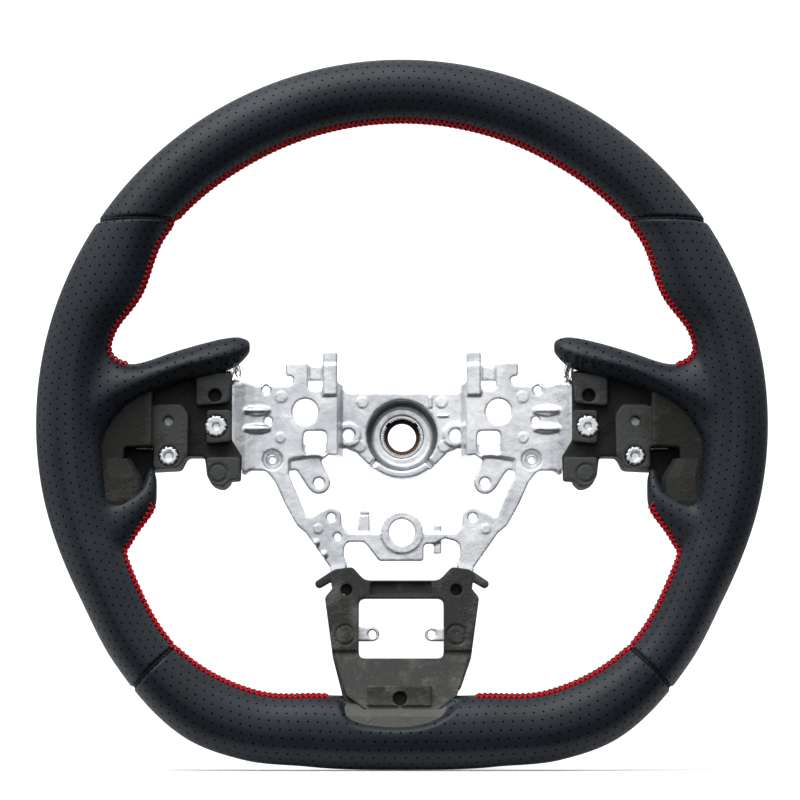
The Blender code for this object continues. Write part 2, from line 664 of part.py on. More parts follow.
def lower_pad_body(grow):
    """The lower pad's outside: thin above, and swelling forward to meet the rim below."""
    pad = plate(LOWER_PAD, LOWER_PAD_FRONT, LOWER_PAD_BACK)
    slope = []
    for z, front, half in SWELL:
        slope.append([(-half - grow, front - grow, z), (half + grow, front - grow, z),
                      (half + grow, SWELL_BACK, z), (-half - grow, SWELL_BACK, z)])
    join(pad, loft(slope), grown_box(grow, *SWELL_BOSS))
    if grow:
        join(pad, plate(RIM_SEAT, RIM_SEAT_FRONT, LOWER_PAD_BACK - 1))
    return pad


def lower_pad(foam):
    """The moulded foam over the lower spoke, with its window and its two hooks."""
    pad = lower_pad_body(0.0)
    for side in (-1, 1):
        join(pad, plate(on_side(HOOK, side), *HOOK_SPAN))
    cut(pad, plate(LOWER_WINDOW, *LOWER_CUT))
    cut(pad, box(*TOP_GROOVE))
    for x, z, radius, floor in LOWER_HOLES:
        cut(pad, disc(x, z, radius, LOWER_CUT[0], floor))
    low, high, *slot = TONGUE_SLOT
    for side in (-1, 1):
        cut(pad, spoke_leg(side, GAP))
        cut(pad, grown_box(GAP, *sorted((low * side, high * side)), *slot))
    cut(pad, ring_of(lambda angle: core_section(angle, GAP)))
    finish(pad, "lower_pad", foam)


def rim_foam(foam):
    """The foam ring round the core, under the leather, with the wings' cores."""
    ring = ring_of(lambda angle: section(angle, FOAM_INSET))
    for side in (-1, 1):
        join(ring, wing(side, FOAM_INSET), web(side, FOAM_INSET))
    cut(ring, ring_of(lambda angle: core_section(angle, GAP)))
    for side in (-1, 1):
        cut(ring, arm(side, GAP), spoke_leg(side, GAP))
    cut(ring, lower_pad_body(GAP))
    finish(ring, "rim_foam", foam)


# ---- Leather and thread ----


def leather_panel(name, start, end, leather, side=0):
    """A stitched panel of leather: a hollow length of rim, with wings where it covers a spoke."""
    start += SEAM_GAP
    end -= SEAM_GAP
    panel = rim_length(start, end, 0.0)
    hollow = rim_length(start - PANEL_OVERRUN, end + PANEL_OVERRUN, LEATHER)
    if side:
        join(panel, wing(side, 0.0), web(side, 0.0))
        join(hollow, wing(side, LEATHER), web(side, LEATHER))
    cut(panel, hollow)
    finish(panel, name, leather)
    return panel


def thread(name, start, end, steps, cotton):
    """The sewing thread along the inner edge, as one smooth strand."""
    rings = []
    for i in range(steps + 1):
        angle = start + (end - start) * i / steps
        middle = Vector(rim_point(angle, THREAD_LINE, -THREAD_RADIUS - THREAD_LIFT))
        ahead = Vector(rim_point(angle + 1, THREAD_LINE, -THREAD_RADIUS - THREAD_LIFT)) - middle
        across = ahead.cross(Vector((0, 1, 0))).normalized()
        upward = across.cross(ahead).normalized()
        ring = []
        for k in range(5):
            a = 2 * math.pi * k / 5
            ring.append(middle + (across * math.cos(a) + upward * math.sin(a)) * THREAD_RADIUS)
        rings.append(ring)
    finish(loft(rings), name, cotton)


def seam_thread(name, angle, cotton):
    """The black thread that sews two panels end to end, lying in the joint between them."""
    rings = []
    for i in range(RIM_SIDES):
        turn = 360 * i / RIM_SIDES
        middle = Vector(rim_point(angle, turn, SEAM_THREAD_DEPTH))
        outward = (Vector(rim_point(angle, turn, 0.0)) - middle).normalized()
        ahead = Vector(rim_point(angle, turn + 2, SEAM_THREAD_DEPTH)) - middle
        across = ahead.cross(outward).normalized()
        corners = (outward, across, -outward, -across)
        rings.append([middle + SEAM_THREAD_RADIUS * corner for corner in corners])
    finish(loft(rings, closed=True), name, cotton)


def main():
    for old in list(bpy.data.objects):
        bpy.data.objects.remove(old)
    aluminium = material("cast_aluminium", (0.62, 0.65, 0.69), 0.38, 1.0)
    steel = material("oiled_steel", (0.20, 0.13, 0.09), 0.6, 1.0)
    bright = material("bright_alloy", (0.75, 0.77, 0.80), 0.35, 1.0)
    core_steel = material("core_steel", (0.30, 0.30, 0.31), 0.5, 1.0)
    foam = material("moulded_foam", (0.025, 0.025, 0.023), 0.85)
    leather = material("perforated_leather", (0.022, 0.028, 0.036), 0.55)
    cotton = material("red_thread", (0.50, 0.01, 0.03), 0.7)
    black = material("black_thread", (0.01, 0.01, 0.01), 0.8)

    armature(aluminium)
    spline_bush(steel)
    for side, word in ((-1, "left"), (1, "right")):
        for level, (x, z, radius, hole, front) in INSERTS.items():
            insert(f"pad_boss_{word}_{level}", x * side, z, radius, hole, front, bright)
        side_pad(side, f"side_pad_{word}", foam)
    lower_pad(foam)
    finish(ring_of(lambda angle: core_section(angle, 0.0)), "rim_core", core_steel)
    rim_foam(foam)

    upper, lower = UPPER_SEAM, LOWER_SEAM
    leather_panel("leather_top", upper, 180 - upper, leather)
    panel_right = leather_panel("leather_right", lower, upper, leather, 1)
    panel_left = leather_panel("leather_left", 180 - upper, 180 - lower, leather, -1)
    panel_low = leather_panel("leather_bottom", 180 - lower, 360 + lower, leather)
    cut(panel_right, arm(1, GAP))
    cut(panel_left, arm(-1, GAP))
    cut(panel_low, lower_pad_body(GAP), spoke_leg(1, GAP), spoke_leg(-1, GAP))

    for word, angle in (("right", upper), ("left", 180 - upper)):
        seam_thread(f"seam_thread_upper_{word}", angle, black)
    for word, angle in (("right", lower), ("left", 180 - lower)):
        seam_thread(f"seam_thread_lower_{word}", angle, black)
    thread("stitching_top", TOP_THREAD_END, 180 - TOP_THREAD_END, 40, cotton)
    near, far = LOWER_THREAD
    thread("stitching_lower_right", near, far, 14, cotton)
    thread("stitching_lower_left", 180 - near, 180 - far, 14, cotton)


main()
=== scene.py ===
# %% [markdown]
# # A perforated leather steering wheel, shown bare
#
# The real wheel is a light-alloy casting with foam moulded round its rim, four panels of leather
# glued over the foam, and a line of red cross stitching along the inner edge. The casting's middle
# is open, because the airbag module that normally covers it isn't fitted.
#
# This script loads the measured model first. Its solids are exact in size but plain, so each
# visible one is either dressed with a better material or rebuilt as a finer mesh in the same place.

# %% Load the measured model
import json
import math
import bmesh
import bpy
import numpy as np
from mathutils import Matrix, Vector
from mathutils.bvhtree import BVHTree

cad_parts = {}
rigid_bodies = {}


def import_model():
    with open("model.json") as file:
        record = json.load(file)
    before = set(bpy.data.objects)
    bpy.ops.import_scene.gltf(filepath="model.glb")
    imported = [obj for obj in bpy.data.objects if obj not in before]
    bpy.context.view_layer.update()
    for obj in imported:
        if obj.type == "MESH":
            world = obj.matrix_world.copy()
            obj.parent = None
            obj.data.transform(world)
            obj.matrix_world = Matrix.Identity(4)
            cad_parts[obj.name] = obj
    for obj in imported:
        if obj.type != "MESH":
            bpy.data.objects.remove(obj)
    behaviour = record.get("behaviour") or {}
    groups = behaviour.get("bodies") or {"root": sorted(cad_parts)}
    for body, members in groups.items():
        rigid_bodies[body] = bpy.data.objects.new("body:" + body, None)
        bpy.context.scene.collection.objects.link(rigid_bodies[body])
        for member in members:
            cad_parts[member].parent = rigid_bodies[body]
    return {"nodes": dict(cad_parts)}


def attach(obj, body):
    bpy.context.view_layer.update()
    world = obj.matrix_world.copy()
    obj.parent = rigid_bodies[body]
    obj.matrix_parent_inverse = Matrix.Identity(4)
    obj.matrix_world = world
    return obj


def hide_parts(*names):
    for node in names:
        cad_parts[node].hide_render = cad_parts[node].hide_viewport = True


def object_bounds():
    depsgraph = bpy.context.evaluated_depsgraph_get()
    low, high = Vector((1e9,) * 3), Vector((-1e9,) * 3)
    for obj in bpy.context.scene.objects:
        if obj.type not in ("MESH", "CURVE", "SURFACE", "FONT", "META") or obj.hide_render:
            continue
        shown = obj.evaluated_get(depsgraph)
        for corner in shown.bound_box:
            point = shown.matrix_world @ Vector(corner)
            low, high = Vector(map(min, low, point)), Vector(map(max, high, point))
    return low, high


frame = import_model()
cad_box = [list(corner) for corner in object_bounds()]
MM = 0.001
print("measured box, mm:", [[round(v / MM, 1) for v in corner] for corner in cad_box])

# %% [markdown]
# ## The rim's shape as a formula
#
# The rim isn't a plain ring: it is flat at the bottom, and swells inwards where the thumbs rest. A
# modeller could push a torus about by hand. A formula is better here, because the leather, its
# joints, its holes and its stitches all have to follow the same surface. Two smooth curves give the
# outer and the inner edge as a radius for each polar angle, and every section between them is an
# ellipse.

# %% The rim formula
RIM_CENTRE_Z = 5.4
RIM_MID_Y = -42.0
RIM_HALF_DEPTH = 16.5
OUTER_EDGE = [(-90, 176.2), (-75, 180.8), (-65, 188.9), (-55, 193.9), (-40, 189.8), (-29, 185.7),
              (-10, 185.7), (90, 185.7)]
INNER_EDGE = [(-90, 138.7), (-74, 144.2), (-62, 155.2), (-45, 161.4), (-29, 156.3), (-10, 152.5),
              (15, 153.5), (26, 147.3), (38, 153.2), (60, 153.0), (90, 153.0)]
UPPER_SEAM = 37.0
LOWER_SEAM = -45.0


def smooth_curve(points, at):
    """Values of a smooth curve through (position, value) points, for an array of positions."""
    xs = np.array([p[0] for p in points], float)
    vs = np.array([p[1] for p in points], float)
    slopes = np.zeros(len(xs))
    slopes[1:-1] = (vs[2:] - vs[:-2]) / (xs[2:] - xs[:-2])
    at = np.clip(at, xs[0], xs[-1])
    i = np.clip(np.searchsorted(xs, at, side="right") - 1, 0, len(xs) - 2)
    span = xs[i + 1] - xs[i]
    t = (at - xs[i]) / span
    return (vs[i] * (1 + 2 * t) * (1 - t) ** 2 + slopes[i] * span * t * (1 - t) ** 2
            + vs[i + 1] * t * t * (3 - 2 * t) + slopes[i + 1] * span * t * t * (t - 1))


def folded(angle):
    """Polar angles in degrees brought to the right half of the wheel, from -90 to 90."""
    angle = (np.asarray(angle, float) + 90) % 360 - 90
    return np.where(angle > 90, 180 - angle, angle)


def rim_edges(angle):
    """The middle radius and the half width of the rim at these polar angles."""
    outer = smooth_curve(OUTER_EDGE, folded(angle))
    inner = smooth_curve(INNER_EDGE, folded(angle))
    return (outer + inner) / 2, (outer - inner) / 2


def rim_point(angle, around, lift=0.0):
    """Points on the rim's skin in millimetres. around is 0 outside, 90 in front and 180 inside."""
    angle, around = np.broadcast_arrays(np.asarray(angle, float), np.asarray(around, float))
    middle, half = rim_edges(angle)
    turn = np.radians(angle)
    around = np.radians(around)
    radius = middle + (half + lift) * np.cos(around)
    return np.stack([radius * np.cos(turn),
                     RIM_MID_Y - (RIM_HALF_DEPTH + lift) * np.sin(around),
                     RIM_CENTRE_Z + radius * np.sin(turn)], axis=-1)


print("rim width at 12 o'clock, mm:", round(float(2 * rim_edges(90.0)[1]), 1))

# %% [markdown]
# ## Small mesh tools
#
# These helpers turn rows of points into a mesh, read and write all of a mesh's points at once, and
# melt overlapping closed shapes into one skin with a voxel remesh. Blender's Remesh modifier in
# voxel mode is the quick way to weld shapes that only overlap: it wraps the whole group in one
# even layer of small quads, and a little smoothing then rounds the corners between them.

# %% Mesh tools


def mesh_piece(name, points, faces):
    """A new object from points in millimetres."""
    mesh = bpy.data.meshes.new(name)
    mesh.from_pydata((np.asarray(points, float) * MM).tolist(), [], faces)
    mesh.update()
    piece = bpy.data.objects.new(name, mesh)
    bpy.context.scene.collection.objects.link(piece)
    return piece


def grid_faces(rows, columns, close_rows=False):
    """Quads between rows of points whose columns close on themselves."""
    i = np.arange(rows if close_rows else rows - 1)[:, None]
    j = np.arange(columns)[None, :]
    a = i * columns + j
    b = i * columns + (j + 1) % columns
    c = (i + 1) % rows * columns + (j + 1) % columns
    d = (i + 1) % rows * columns + j
    return np.stack([a, b, c, d], axis=-1).reshape(-1, 4).tolist()


def points_of(mesh):
    """All of a mesh's points, in millimetres."""
    found = np.empty(len(mesh.vertices) * 3)
    mesh.vertices.foreach_get("co", found)
    return found.reshape(-1, 3) / MM


def move_points(mesh, points):
    """Puts a mesh's points at these places, in millimetres."""
    mesh.vertices.foreach_set("co", (np.asarray(points) * MM).ravel())
    mesh.update()


def edges_of(mesh):
    """The two point numbers of every edge."""
    found = np.empty(len(mesh.edges) * 2, np.int32)
    mesh.edges.foreach_get("vertices", found)
    return found.reshape(-1, 2)


def melted(piece, voxel):
    """Welds the piece's overlapping closed shapes into one skin of small quads."""
    remesh = piece.modifiers.new("melt", "REMESH")
    remesh.mode = "VOXEL"
    remesh.voxel_size = voxel * MM
    graph = bpy.context.evaluated_depsgraph_get()
    spent = piece.data
    piece.data = bpy.data.meshes.new_from_object(piece.evaluated_get(graph))
    piece.modifiers.clear()
    bpy.data.meshes.remove(spent)


def face_outwards(piece):
    """Turns every face of the piece's closed shapes to point out of them."""
    bm = bmesh.new()
    bm.from_mesh(piece.data)
    bmesh.ops.recalc_face_normals(bm, faces=bm.faces)
    bm.to_mesh(piece.data)
    bm.free()


def relaxed(points, edges, rounds, share):
    """Points moved towards their neighbours' middle, by a share that may differ from point to point."""
    count = np.bincount(edges.ravel(), minlength=len(points))[:, None]
    points = points.copy()
    for _ in range(rounds):
        total = np.empty_like(points)
        for axis in range(3):
            total[:, axis] = (
                np.bincount(edges[:, 0], points[edges[:, 1], axis], len(points))
                + np.bincount(edges[:, 1], points[edges[:, 0], axis], len(points)))
        points += (total / np.maximum(count, 1) - points) * share
    return points


def smooth_shaded(piece):
    """The same piece, shaded as one smooth surface."""
    piece.data.shade_smooth()
    return piece


def ramp_up(value, low, high):
    """0 below low, 1 above high, and a smooth step between them."""
    t = np.clip((value - low) / (high - low), 0, 1)
    return t * t * (3 - 2 * t)


print("the ramp passes", float(ramp_up(0.5, 0, 1)), "halfway up")

# %% [markdown]
# ## The leather's body
#
# The cover is one continuous skin: it runs round the rim, and flows out over each spoke as a wing
# that narrows to a blunt tip. So the rim and its wings are made as overlapping closed shapes, melted
# together, and relaxed only where they meet, which gives the stretched fillets that real leather
# shows there.

# %% Rim, wings and webs as closed shapes
# (x, low z, high z, middle y, half depth) of the left wing, from inside the rim to its tip
WING = [(-168, -16, 44, -42, 11.0), (-158, -12, 43.5, -42, 12.0), (-151, -4, 42.5, -42, 12.3),
        (-146, 5, 38.0, -42, 12.3), (-139, 12.6, 34.5, -41.8, 12.2), (-127, 19.4, 37.2, -41.2, 11.8),
        (-112, 25.6, 42.0, -40.2, 11.0), (-102, 27.8, 45.0, -39.4, 10.4), (-92, 30.4, 47.6, -38.4, 9.5),
        (-85, 33.2, 48.6, -37.6, 8.2), (-80.5, 37.2, 48.0, -37.0, 6.2), (-77.6, 41.0, 46.2, -36.6, 3.0)]
# (z, low x, high x, middle y, half depth) of the small left web below the spoke
WEB = [(-17, -130.0, -125.4, -37.5, 2.6), (-22, -131.0, -124.4, -39.0, 4.6),
       (-27, -131.8, -124.0, -40.0, 6.4), (-32, -137.0, -124.0, -40.8, 7.8),
       (-37, -148.0, -124.0, -41.3, 9.0), (-42, -159.0, -126.0, -41.7, 9.8),
       (-48, -162.0, -130.6, -42, 10.2), (-55, -163.0, -135.6, -42, 10.0),
       (-62, -163.0, -139.8, -42, 9.2), (-69, -162.0, -144.6, -42, 6.5)]
RIDGE = 0.34  # how sharply each wing is creased along its front
RIDGE_TURN = math.radians(8)  # how far above a wing's middle the crease runs
WING_ROWS, WEB_ROWS, SPOKE_COLUMNS = 70, 34, 40
SKIN_VOXEL = 1.1


def stations_between(stations, steps):
    """A finer list of stations, along smooth curves through the given ones."""
    table = np.array(stations, float)
    place = np.arange(len(table))
    fine = np.linspace(0, len(table) - 1, steps)
    return np.stack([smooth_curve(list(zip(place, column)), fine) for column in table.T], axis=-1)


def closed_tube(rows, columns):
    """Points and faces of rows of points, with a fan of triangles over each end."""
    points = np.concatenate([rows.reshape(-1, 3), rows[0].mean(0)[None], rows[-1].mean(0)[None]])
    count = len(rows) * columns
    faces = grid_faces(len(rows), columns)
    last = (len(rows) - 1) * columns
    for j in range(columns):
        k = (j + 1) % columns
        faces.append([k, j, count])
        faces.append([last + j, last + k, count + 1])
    return points, faces


def wing_shape(side):
    """The leather wing over one spoke, creased along its front."""
    rows = []
    turns = np.linspace(0, 2 * math.pi, SPOKE_COLUMNS, endpoint=False)
    for x, low, high, y, deep in stations_between(WING, WING_ROWS):
        pinch = np.where(np.cos(turns) < 0, 1 - RIDGE * np.abs(np.sin(turns - RIDGE_TURN)), 1)
        rows.append(np.stack([np.full(SPOKE_COLUMNS, -x * side), y + deep * np.cos(turns) * pinch,
                              (low + high) / 2 + (high - low) / 2 * np.sin(turns)], axis=-1))
    return closed_tube(np.array(rows), SPOKE_COLUMNS)


def web_shape(side):
    """The small leather web below one spoke."""
    rows = []
    turns = np.linspace(0, 2 * math.pi, SPOKE_COLUMNS, endpoint=False)
    for z, low, high, y, deep in stations_between(WEB, WEB_ROWS):
        rows.append(np.stack([-side * ((low + high) / 2 + (high - low) / 2 * np.cos(turns)),
                              y + deep * np.sin(turns), np.full(SPOKE_COLUMNS, z)], axis=-1))
    return closed_tube(np.array(rows), SPOKE_COLUMNS)


RIM_ROWS, RIM_COLUMNS = 720, 72
polar = np.repeat(np.linspace(0, 360, RIM_ROWS, endpoint=False)[:, None], RIM_COLUMNS, axis=1)
around = np.repeat(np.linspace(0, 360, RIM_COLUMNS, endpoint=False)[None, :], RIM_ROWS, axis=0)
all_points = [rim_point(polar, around).reshape(-1, 3)]
all_faces = grid_faces(RIM_ROWS, RIM_COLUMNS, close_rows=True)
for side in (-1, 1):
    for shape in (wing_shape(side), web_shape(side)):
        first = sum(len(p) for p in all_points)
        all_points.append(shape[0])
        all_faces += [[first + v for v in face] for face in shape[1]]
body = mesh_piece("leather_body", np.concatenate(all_points), all_faces)
face_outwards(body)
melted(body, SKIN_VOXEL)
print("leather body:", len(body.data.vertices), "points")

# %% [markdown]
# ## Relaxing, seams and flat coordinates
#
# The four panels are sewn end to end, so the skin is cut along the joints and drawn in there, which
# makes the dark grooves. Where the lower pad's foot shows, the bottom panel is pressed down round it
# and cut out. Each point also gets its place on the flat leather, in millimetres along
# and around the rim. Those two numbers are what later puts the punched holes in even rows, however
# the surface bends. Over the wings the flat place comes from the front view instead.

# %% Relax the fillets and measure the skin
RELAX_ROUNDS, FILLET_SHARE, PLAIN_SHARE = 60, 0.5, 0.02
ON_RIM = (-1.25, -1.1)  # at 1.1 times the plain section and less, a point belongs to the rim
GATHER_PITCH = 4.1
GATHER_HEIGHT = 0.55


def rim_place(points):
    """Polar angle, angle round the section, and how far out of the plain rim each point lies."""
    angle = np.degrees(np.arctan2(points[:, 2] - RIM_CENTRE_Z, points[:, 0]))
    radius = np.hypot(points[:, 0], points[:, 2] - RIM_CENTRE_Z)
    middle, half = rim_edges(angle)
    across = (radius - middle) / half
    forward = (RIM_MID_Y - points[:, 1]) / RIM_HALF_DEPTH
    return angle, np.degrees(np.arctan2(forward, across)), np.hypot(across, forward)


points = points_of(body.data)
edges = edges_of(body.data)
# the fillets lie inside the rim, level with the spokes, and clear of the wings' tips
inner_side = ramp_up(-np.abs(points[:, 0]), -166, -158)
near_spoke = ramp_up(points[:, 2], -62, -52) * ramp_up(-points[:, 2], -66, -52)
not_tip = ramp_up(np.abs(points[:, 0]), 118, 134)
share = (FILLET_SHARE * inner_side * near_spoke * not_tip + PLAIN_SHARE)[:, None]
points = relaxed(points, edges, RELAX_ROUNDS, share)

# the rest of the rim goes back to the exact formula
angle, turn, out = rim_place(points)
on_rim = 1 - np.clip(inner_side * near_spoke, 0, 1) ** 0.5
exact = rim_point(angle, turn)
snap = (on_rim * ramp_up(-out, *ON_RIM))[:, None]
points += (exact - points) * snap

# small upright gathers where the loose leather hangs under each wing's tip
reach = np.abs(points[:, 0])
wing_middle = np.interp(-reach, [row[0] for row in WING], [(row[1] + row[2]) / 2 for row in WING])
hanging = (ramp_up(reach, 79, 84) * ramp_up(-reach, -112, -98)
           * ramp_up(wing_middle - points[:, 2], -1, 5) * (points[:, 2] > 15))
gathers = np.sin(reach * 2 * math.pi / GATHER_PITCH + 1.3 * np.sin(reach * 0.7))
points[:, 1] -= GATHER_HEIGHT * gathers * hanging
move_points(body.data, points)
print("share of the skin on the plain rim:", round(float((snap > 0.5).mean()), 2))

# %% Cut the skin along the four joints
upper_middle, _ = rim_edges(UPPER_SEAM)
UPPER_Z = RIM_CENTRE_Z + float(upper_middle) * math.sin(math.radians(UPPER_SEAM))
lower_turn = math.radians(LOWER_SEAM)
# (a point on the joint's plane, the plane's normal, side of the wheel)
JOINTS = [(Vector((0, 0, UPPER_Z)), Vector((0, 0, 1)), side) for side in (1, -1)]
for side in (1, -1):
    JOINTS.append((Vector((0, 0, RIM_CENTRE_Z)),
                   Vector((-math.sin(lower_turn) * side, 0, math.cos(lower_turn))), side))
GROOVE_ROWS = (-2.2, -1.4, -0.8, -0.35, 0.35, 0.8, 1.4, 2.2)
GROOVE_WIDTH, GROOVE_DEPTH, PUCKERS = 0.95, 1.9, 30
JOINT_MIN_X, JOINT_REACH, CUT_REACH = 60, 8, 3
DEEP_INSIDE = -14.0  # lift that leads close to the middle of the rim's section


def beside(points, joint):
    """Signed distance in millimetres from a joint's plane, and which points are on its side of the wheel."""
    centre, normal, side = joint
    distance = (points - np.array(centre)) @ np.array(normal)
    return distance, (points[:, 0] * side > JOINT_MIN_X) & (np.abs(distance) < JOINT_REACH)


bm = bmesh.new()
bm.from_mesh(body.data)
for centre, normal, side in JOINTS:
    for offset in (*GROOVE_ROWS, 0.0):
        place = (centre + normal * offset) * MM
        near = [f for f in bm.faces
                if abs((f.calc_center_median() - place).dot(normal)) < CUT_REACH * MM
                and f.calc_center_median().x * side > JOINT_MIN_X * MM]
        near_edges = {e for f in near for e in f.edges}
        near_points = {v for f in near for v in f.verts}
        bmesh.ops.bisect_plane(bm, geom=[*near, *near_edges, *near_points], dist=1e-7,
                               plane_co=place, plane_no=normal)
bmesh.ops.triangulate(bm, faces=[f for f in bm.faces if len(f.verts) > 4])
bm.to_mesh(body.data)
bm.free()

points = points_of(body.data)
angle, turn, out = rim_place(points)
draw_in = np.zeros(len(points))
for joint in JOINTS:
    distance, here = beside(points, joint)
    draw_in = np.maximum(draw_in, np.where(here, np.exp(-(distance / GROOVE_WIDTH) ** 2), 0))
inward = rim_point(angle, turn, DEEP_INSIDE) - points
inward /= np.linalg.norm(inward, axis=1)[:, None] + 1e-9
puckers = 1 + 0.25 * np.sin(np.radians(turn) * PUCKERS)
points += inward * (GROOVE_DEPTH * draw_in * puckers)[:, None]

move_points(body.data, points)
print("joints cut; skin now has", len(body.data.polygons), "faces")

# %% Press the leather down round the lower pad's foot
# (x, z) along the foot of the lower pad, where the bottom panel is cut out round it
PAD_FOOT = [(-34, -118), (-31.5, -130), (-28.5, -138.2), (-23, -142.2), (-12, -144.2), (0, -144.6),
            (11, -143.2), (19, -140.0), (26, -135.0), (31, -128.5), (35, -116)]
DIP_REACH, CUT_MARGIN, CUT_EDGE_Y = 8.0, 0.6, -49.4
FOOT_TOP_Z, FOOT_HALF_WIDTH, NO_FOOT_Z = -110, 40, -90.0


def pad_foot(x):
    """Height of the lower pad's foot at these places, well above the rim to either side of it."""
    beside_foot = (x <= PAD_FOOT[0][0]) | (x >= PAD_FOOT[-1][0])
    return np.where(beside_foot, NO_FOOT_Z, smooth_curve(PAD_FOOT, x))


in_foot = points[:, 2] - pad_foot(points[:, 0])
dip = (ramp_up(in_foot, -DIP_REACH, CUT_MARGIN) * (np.abs(points[:, 0]) < FOOT_HALF_WIDTH)
       * (points[:, 2] < FOOT_TOP_Z))
points[:, 1] += np.clip(CUT_EDGE_Y - points[:, 1], 0, None) * dip
move_points(body.data, points)
print("points pressed down round the foot:", int((dip > 0.5).sum()))

# %% Flat coordinates for the punched holes
SECTION_RADIUS = 17.2
WING_STRETCH = 1.02
fine = np.linspace(0, 360, 3601)
middles = rim_point(fine, 90.0)
along_rim = np.concatenate([[0], np.cumsum(np.linalg.norm(np.diff(middles, axis=0), axis=1))])
along = np.interp(angle % 360, fine, along_rim)
turn_full = (turn + 180) % 360 - 180
around_rim = np.radians(turn_full - 90) * SECTION_RADIUS
half_way_round = math.pi * SECTION_RADIUS
around_rim = np.where(around_rim < -half_way_round, around_rim + 2 * half_way_round, around_rim)
on_wing = ramp_up(out, 1.04, 1.16) * (np.abs(angle % 180 - 90) > 55)
side_of = np.sign(points[:, 0])
level = np.where(side_of > 0, 0.0, 180.0)  # polar angle of the spoke on each point's side
along_wing = (np.interp(level, fine, along_rim)
              + side_of * (points[:, 2] - RIM_CENTRE_Z) * WING_STRETCH)
along_wing = np.where((side_of > 0) & (along > along_rim[-1] / 2), along_wing + along_rim[-1], along_wing)
around_wing = rim_edges(level)[0] - np.abs(points[:, 0])
along = along + (along_wing - along) * on_wing
around_flat = around_rim + (around_wing - around_rim) * on_wing
flat = body.data.attributes.new("flat_leather", "FLOAT_VECTOR", "POINT")
flat.data.foreach_set("vector", np.stack([along, around_flat, on_wing], axis=-1).ravel())
print("rim length along its front, mm:", round(float(along_rim[-1])))

# %% [markdown]
# ## Four panels
#
# Each panel becomes its own piece, so that it can carry its own name and stand for its own solid. A
# face goes to the panel that its centre lies in, and the faces over the lower pad's foot go to none.

# %% Split the skin into panels


def panel_of(centres):
    """0 top, 1 left, 2 right, 3 bottom for each face centre."""
    low_left = beside(centres, JOINTS[3])[0]
    low_right = beside(centres, JOINTS[2])[0]
    where = np.where(centres[:, 0] > 0, 2, 1)
    below = np.where(centres[:, 0] > 0, low_right, low_left) < 0
    where = np.where(below & (centres[:, 2] < 0), 3, where)
    return np.where(centres[:, 2] > UPPER_Z, 0, where)


centres = np.empty(len(body.data.polygons) * 3)
body.data.polygons.foreach_get("center", centres)
centres = centres.reshape(-1, 3) / MM
cut_out = ((centres[:, 2] > pad_foot(centres[:, 0]) + CUT_MARGIN) & (centres[:, 1] < RIM_MID_Y)
           & (centres[:, 2] < FOOT_TOP_Z))
owner = np.where(cut_out, -1, panel_of(centres))
panels = []
for number, word in enumerate(("top", "left", "right", "bottom")):
    name, node = f"{word}_leather", f"leather_{word}"
    bm = bmesh.new()
    bm.from_mesh(body.data)
    bm.faces.ensure_lookup_table()
    bmesh.ops.delete(bm, geom=[bm.faces[i] for i in np.flatnonzero(owner != number)], context="FACES")
    mesh = bpy.data.meshes.new(name)
    bm.to_mesh(mesh)
    bm.free()
    panel = bpy.data.objects.new(name, mesh)
    bpy.context.scene.collection.objects.link(panel)
    panels.append(smooth_shaded(panel))
    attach(panel, "root")
    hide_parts(node)
    print(name, len(mesh.polygons), "faces")
bm = bmesh.new()
bm.from_mesh(body.data)
skin_tree = BVHTree.FromBMesh(bm)
bm.free()
bpy.data.objects.remove(body)

# %% [markdown]
# ## Thread
#
# A thread is a thin tube along a line of points. The seam threads lie in the joints. The cross
# stitching is many short threads: each stitch goes from a hole on one side of the inner seam to the
# next hole on the other side, and two such sets cross each other. They are laid on the real skin by
# casting a ray at it for every hole.

# %% Tubes along lines


def tube(line, radius, sides=6):
    """Rings of points along a line, and the faces between them, with closed ends."""
    line = np.asarray(line, float)
    ahead = np.gradient(line, axis=0)
    ahead /= np.linalg.norm(ahead, axis=1)[:, None] + 1e-12
    up = np.cross(ahead, np.array([0.31, 0.92, 0.24]))
    up /= np.linalg.norm(up, axis=1)[:, None] + 1e-12
    across = np.cross(ahead, up)
    turns = np.linspace(0, 2 * math.pi, sides, endpoint=False)
    rings = (line[:, None] + radius * (up[:, None] * np.cos(turns)[None, :, None]
                                       + across[:, None] * np.sin(turns)[None, :, None]))
    return closed_tube(rings, sides)


def joined(name, shapes):
    """One piece from several point and face lists."""
    points, faces, first = [], [], 0
    for shape_points, shape_faces in shapes:
        points.append(shape_points)
        faces += [[first + v for v in face] for face in shape_faces]
        first += len(shape_points)
    return smooth_shaded(mesh_piece(name, np.concatenate(points), faces))


print("points in a straight test tube:", len(tube([(0, 0, 0), (0, 0, 1)], 0.5)[0]))

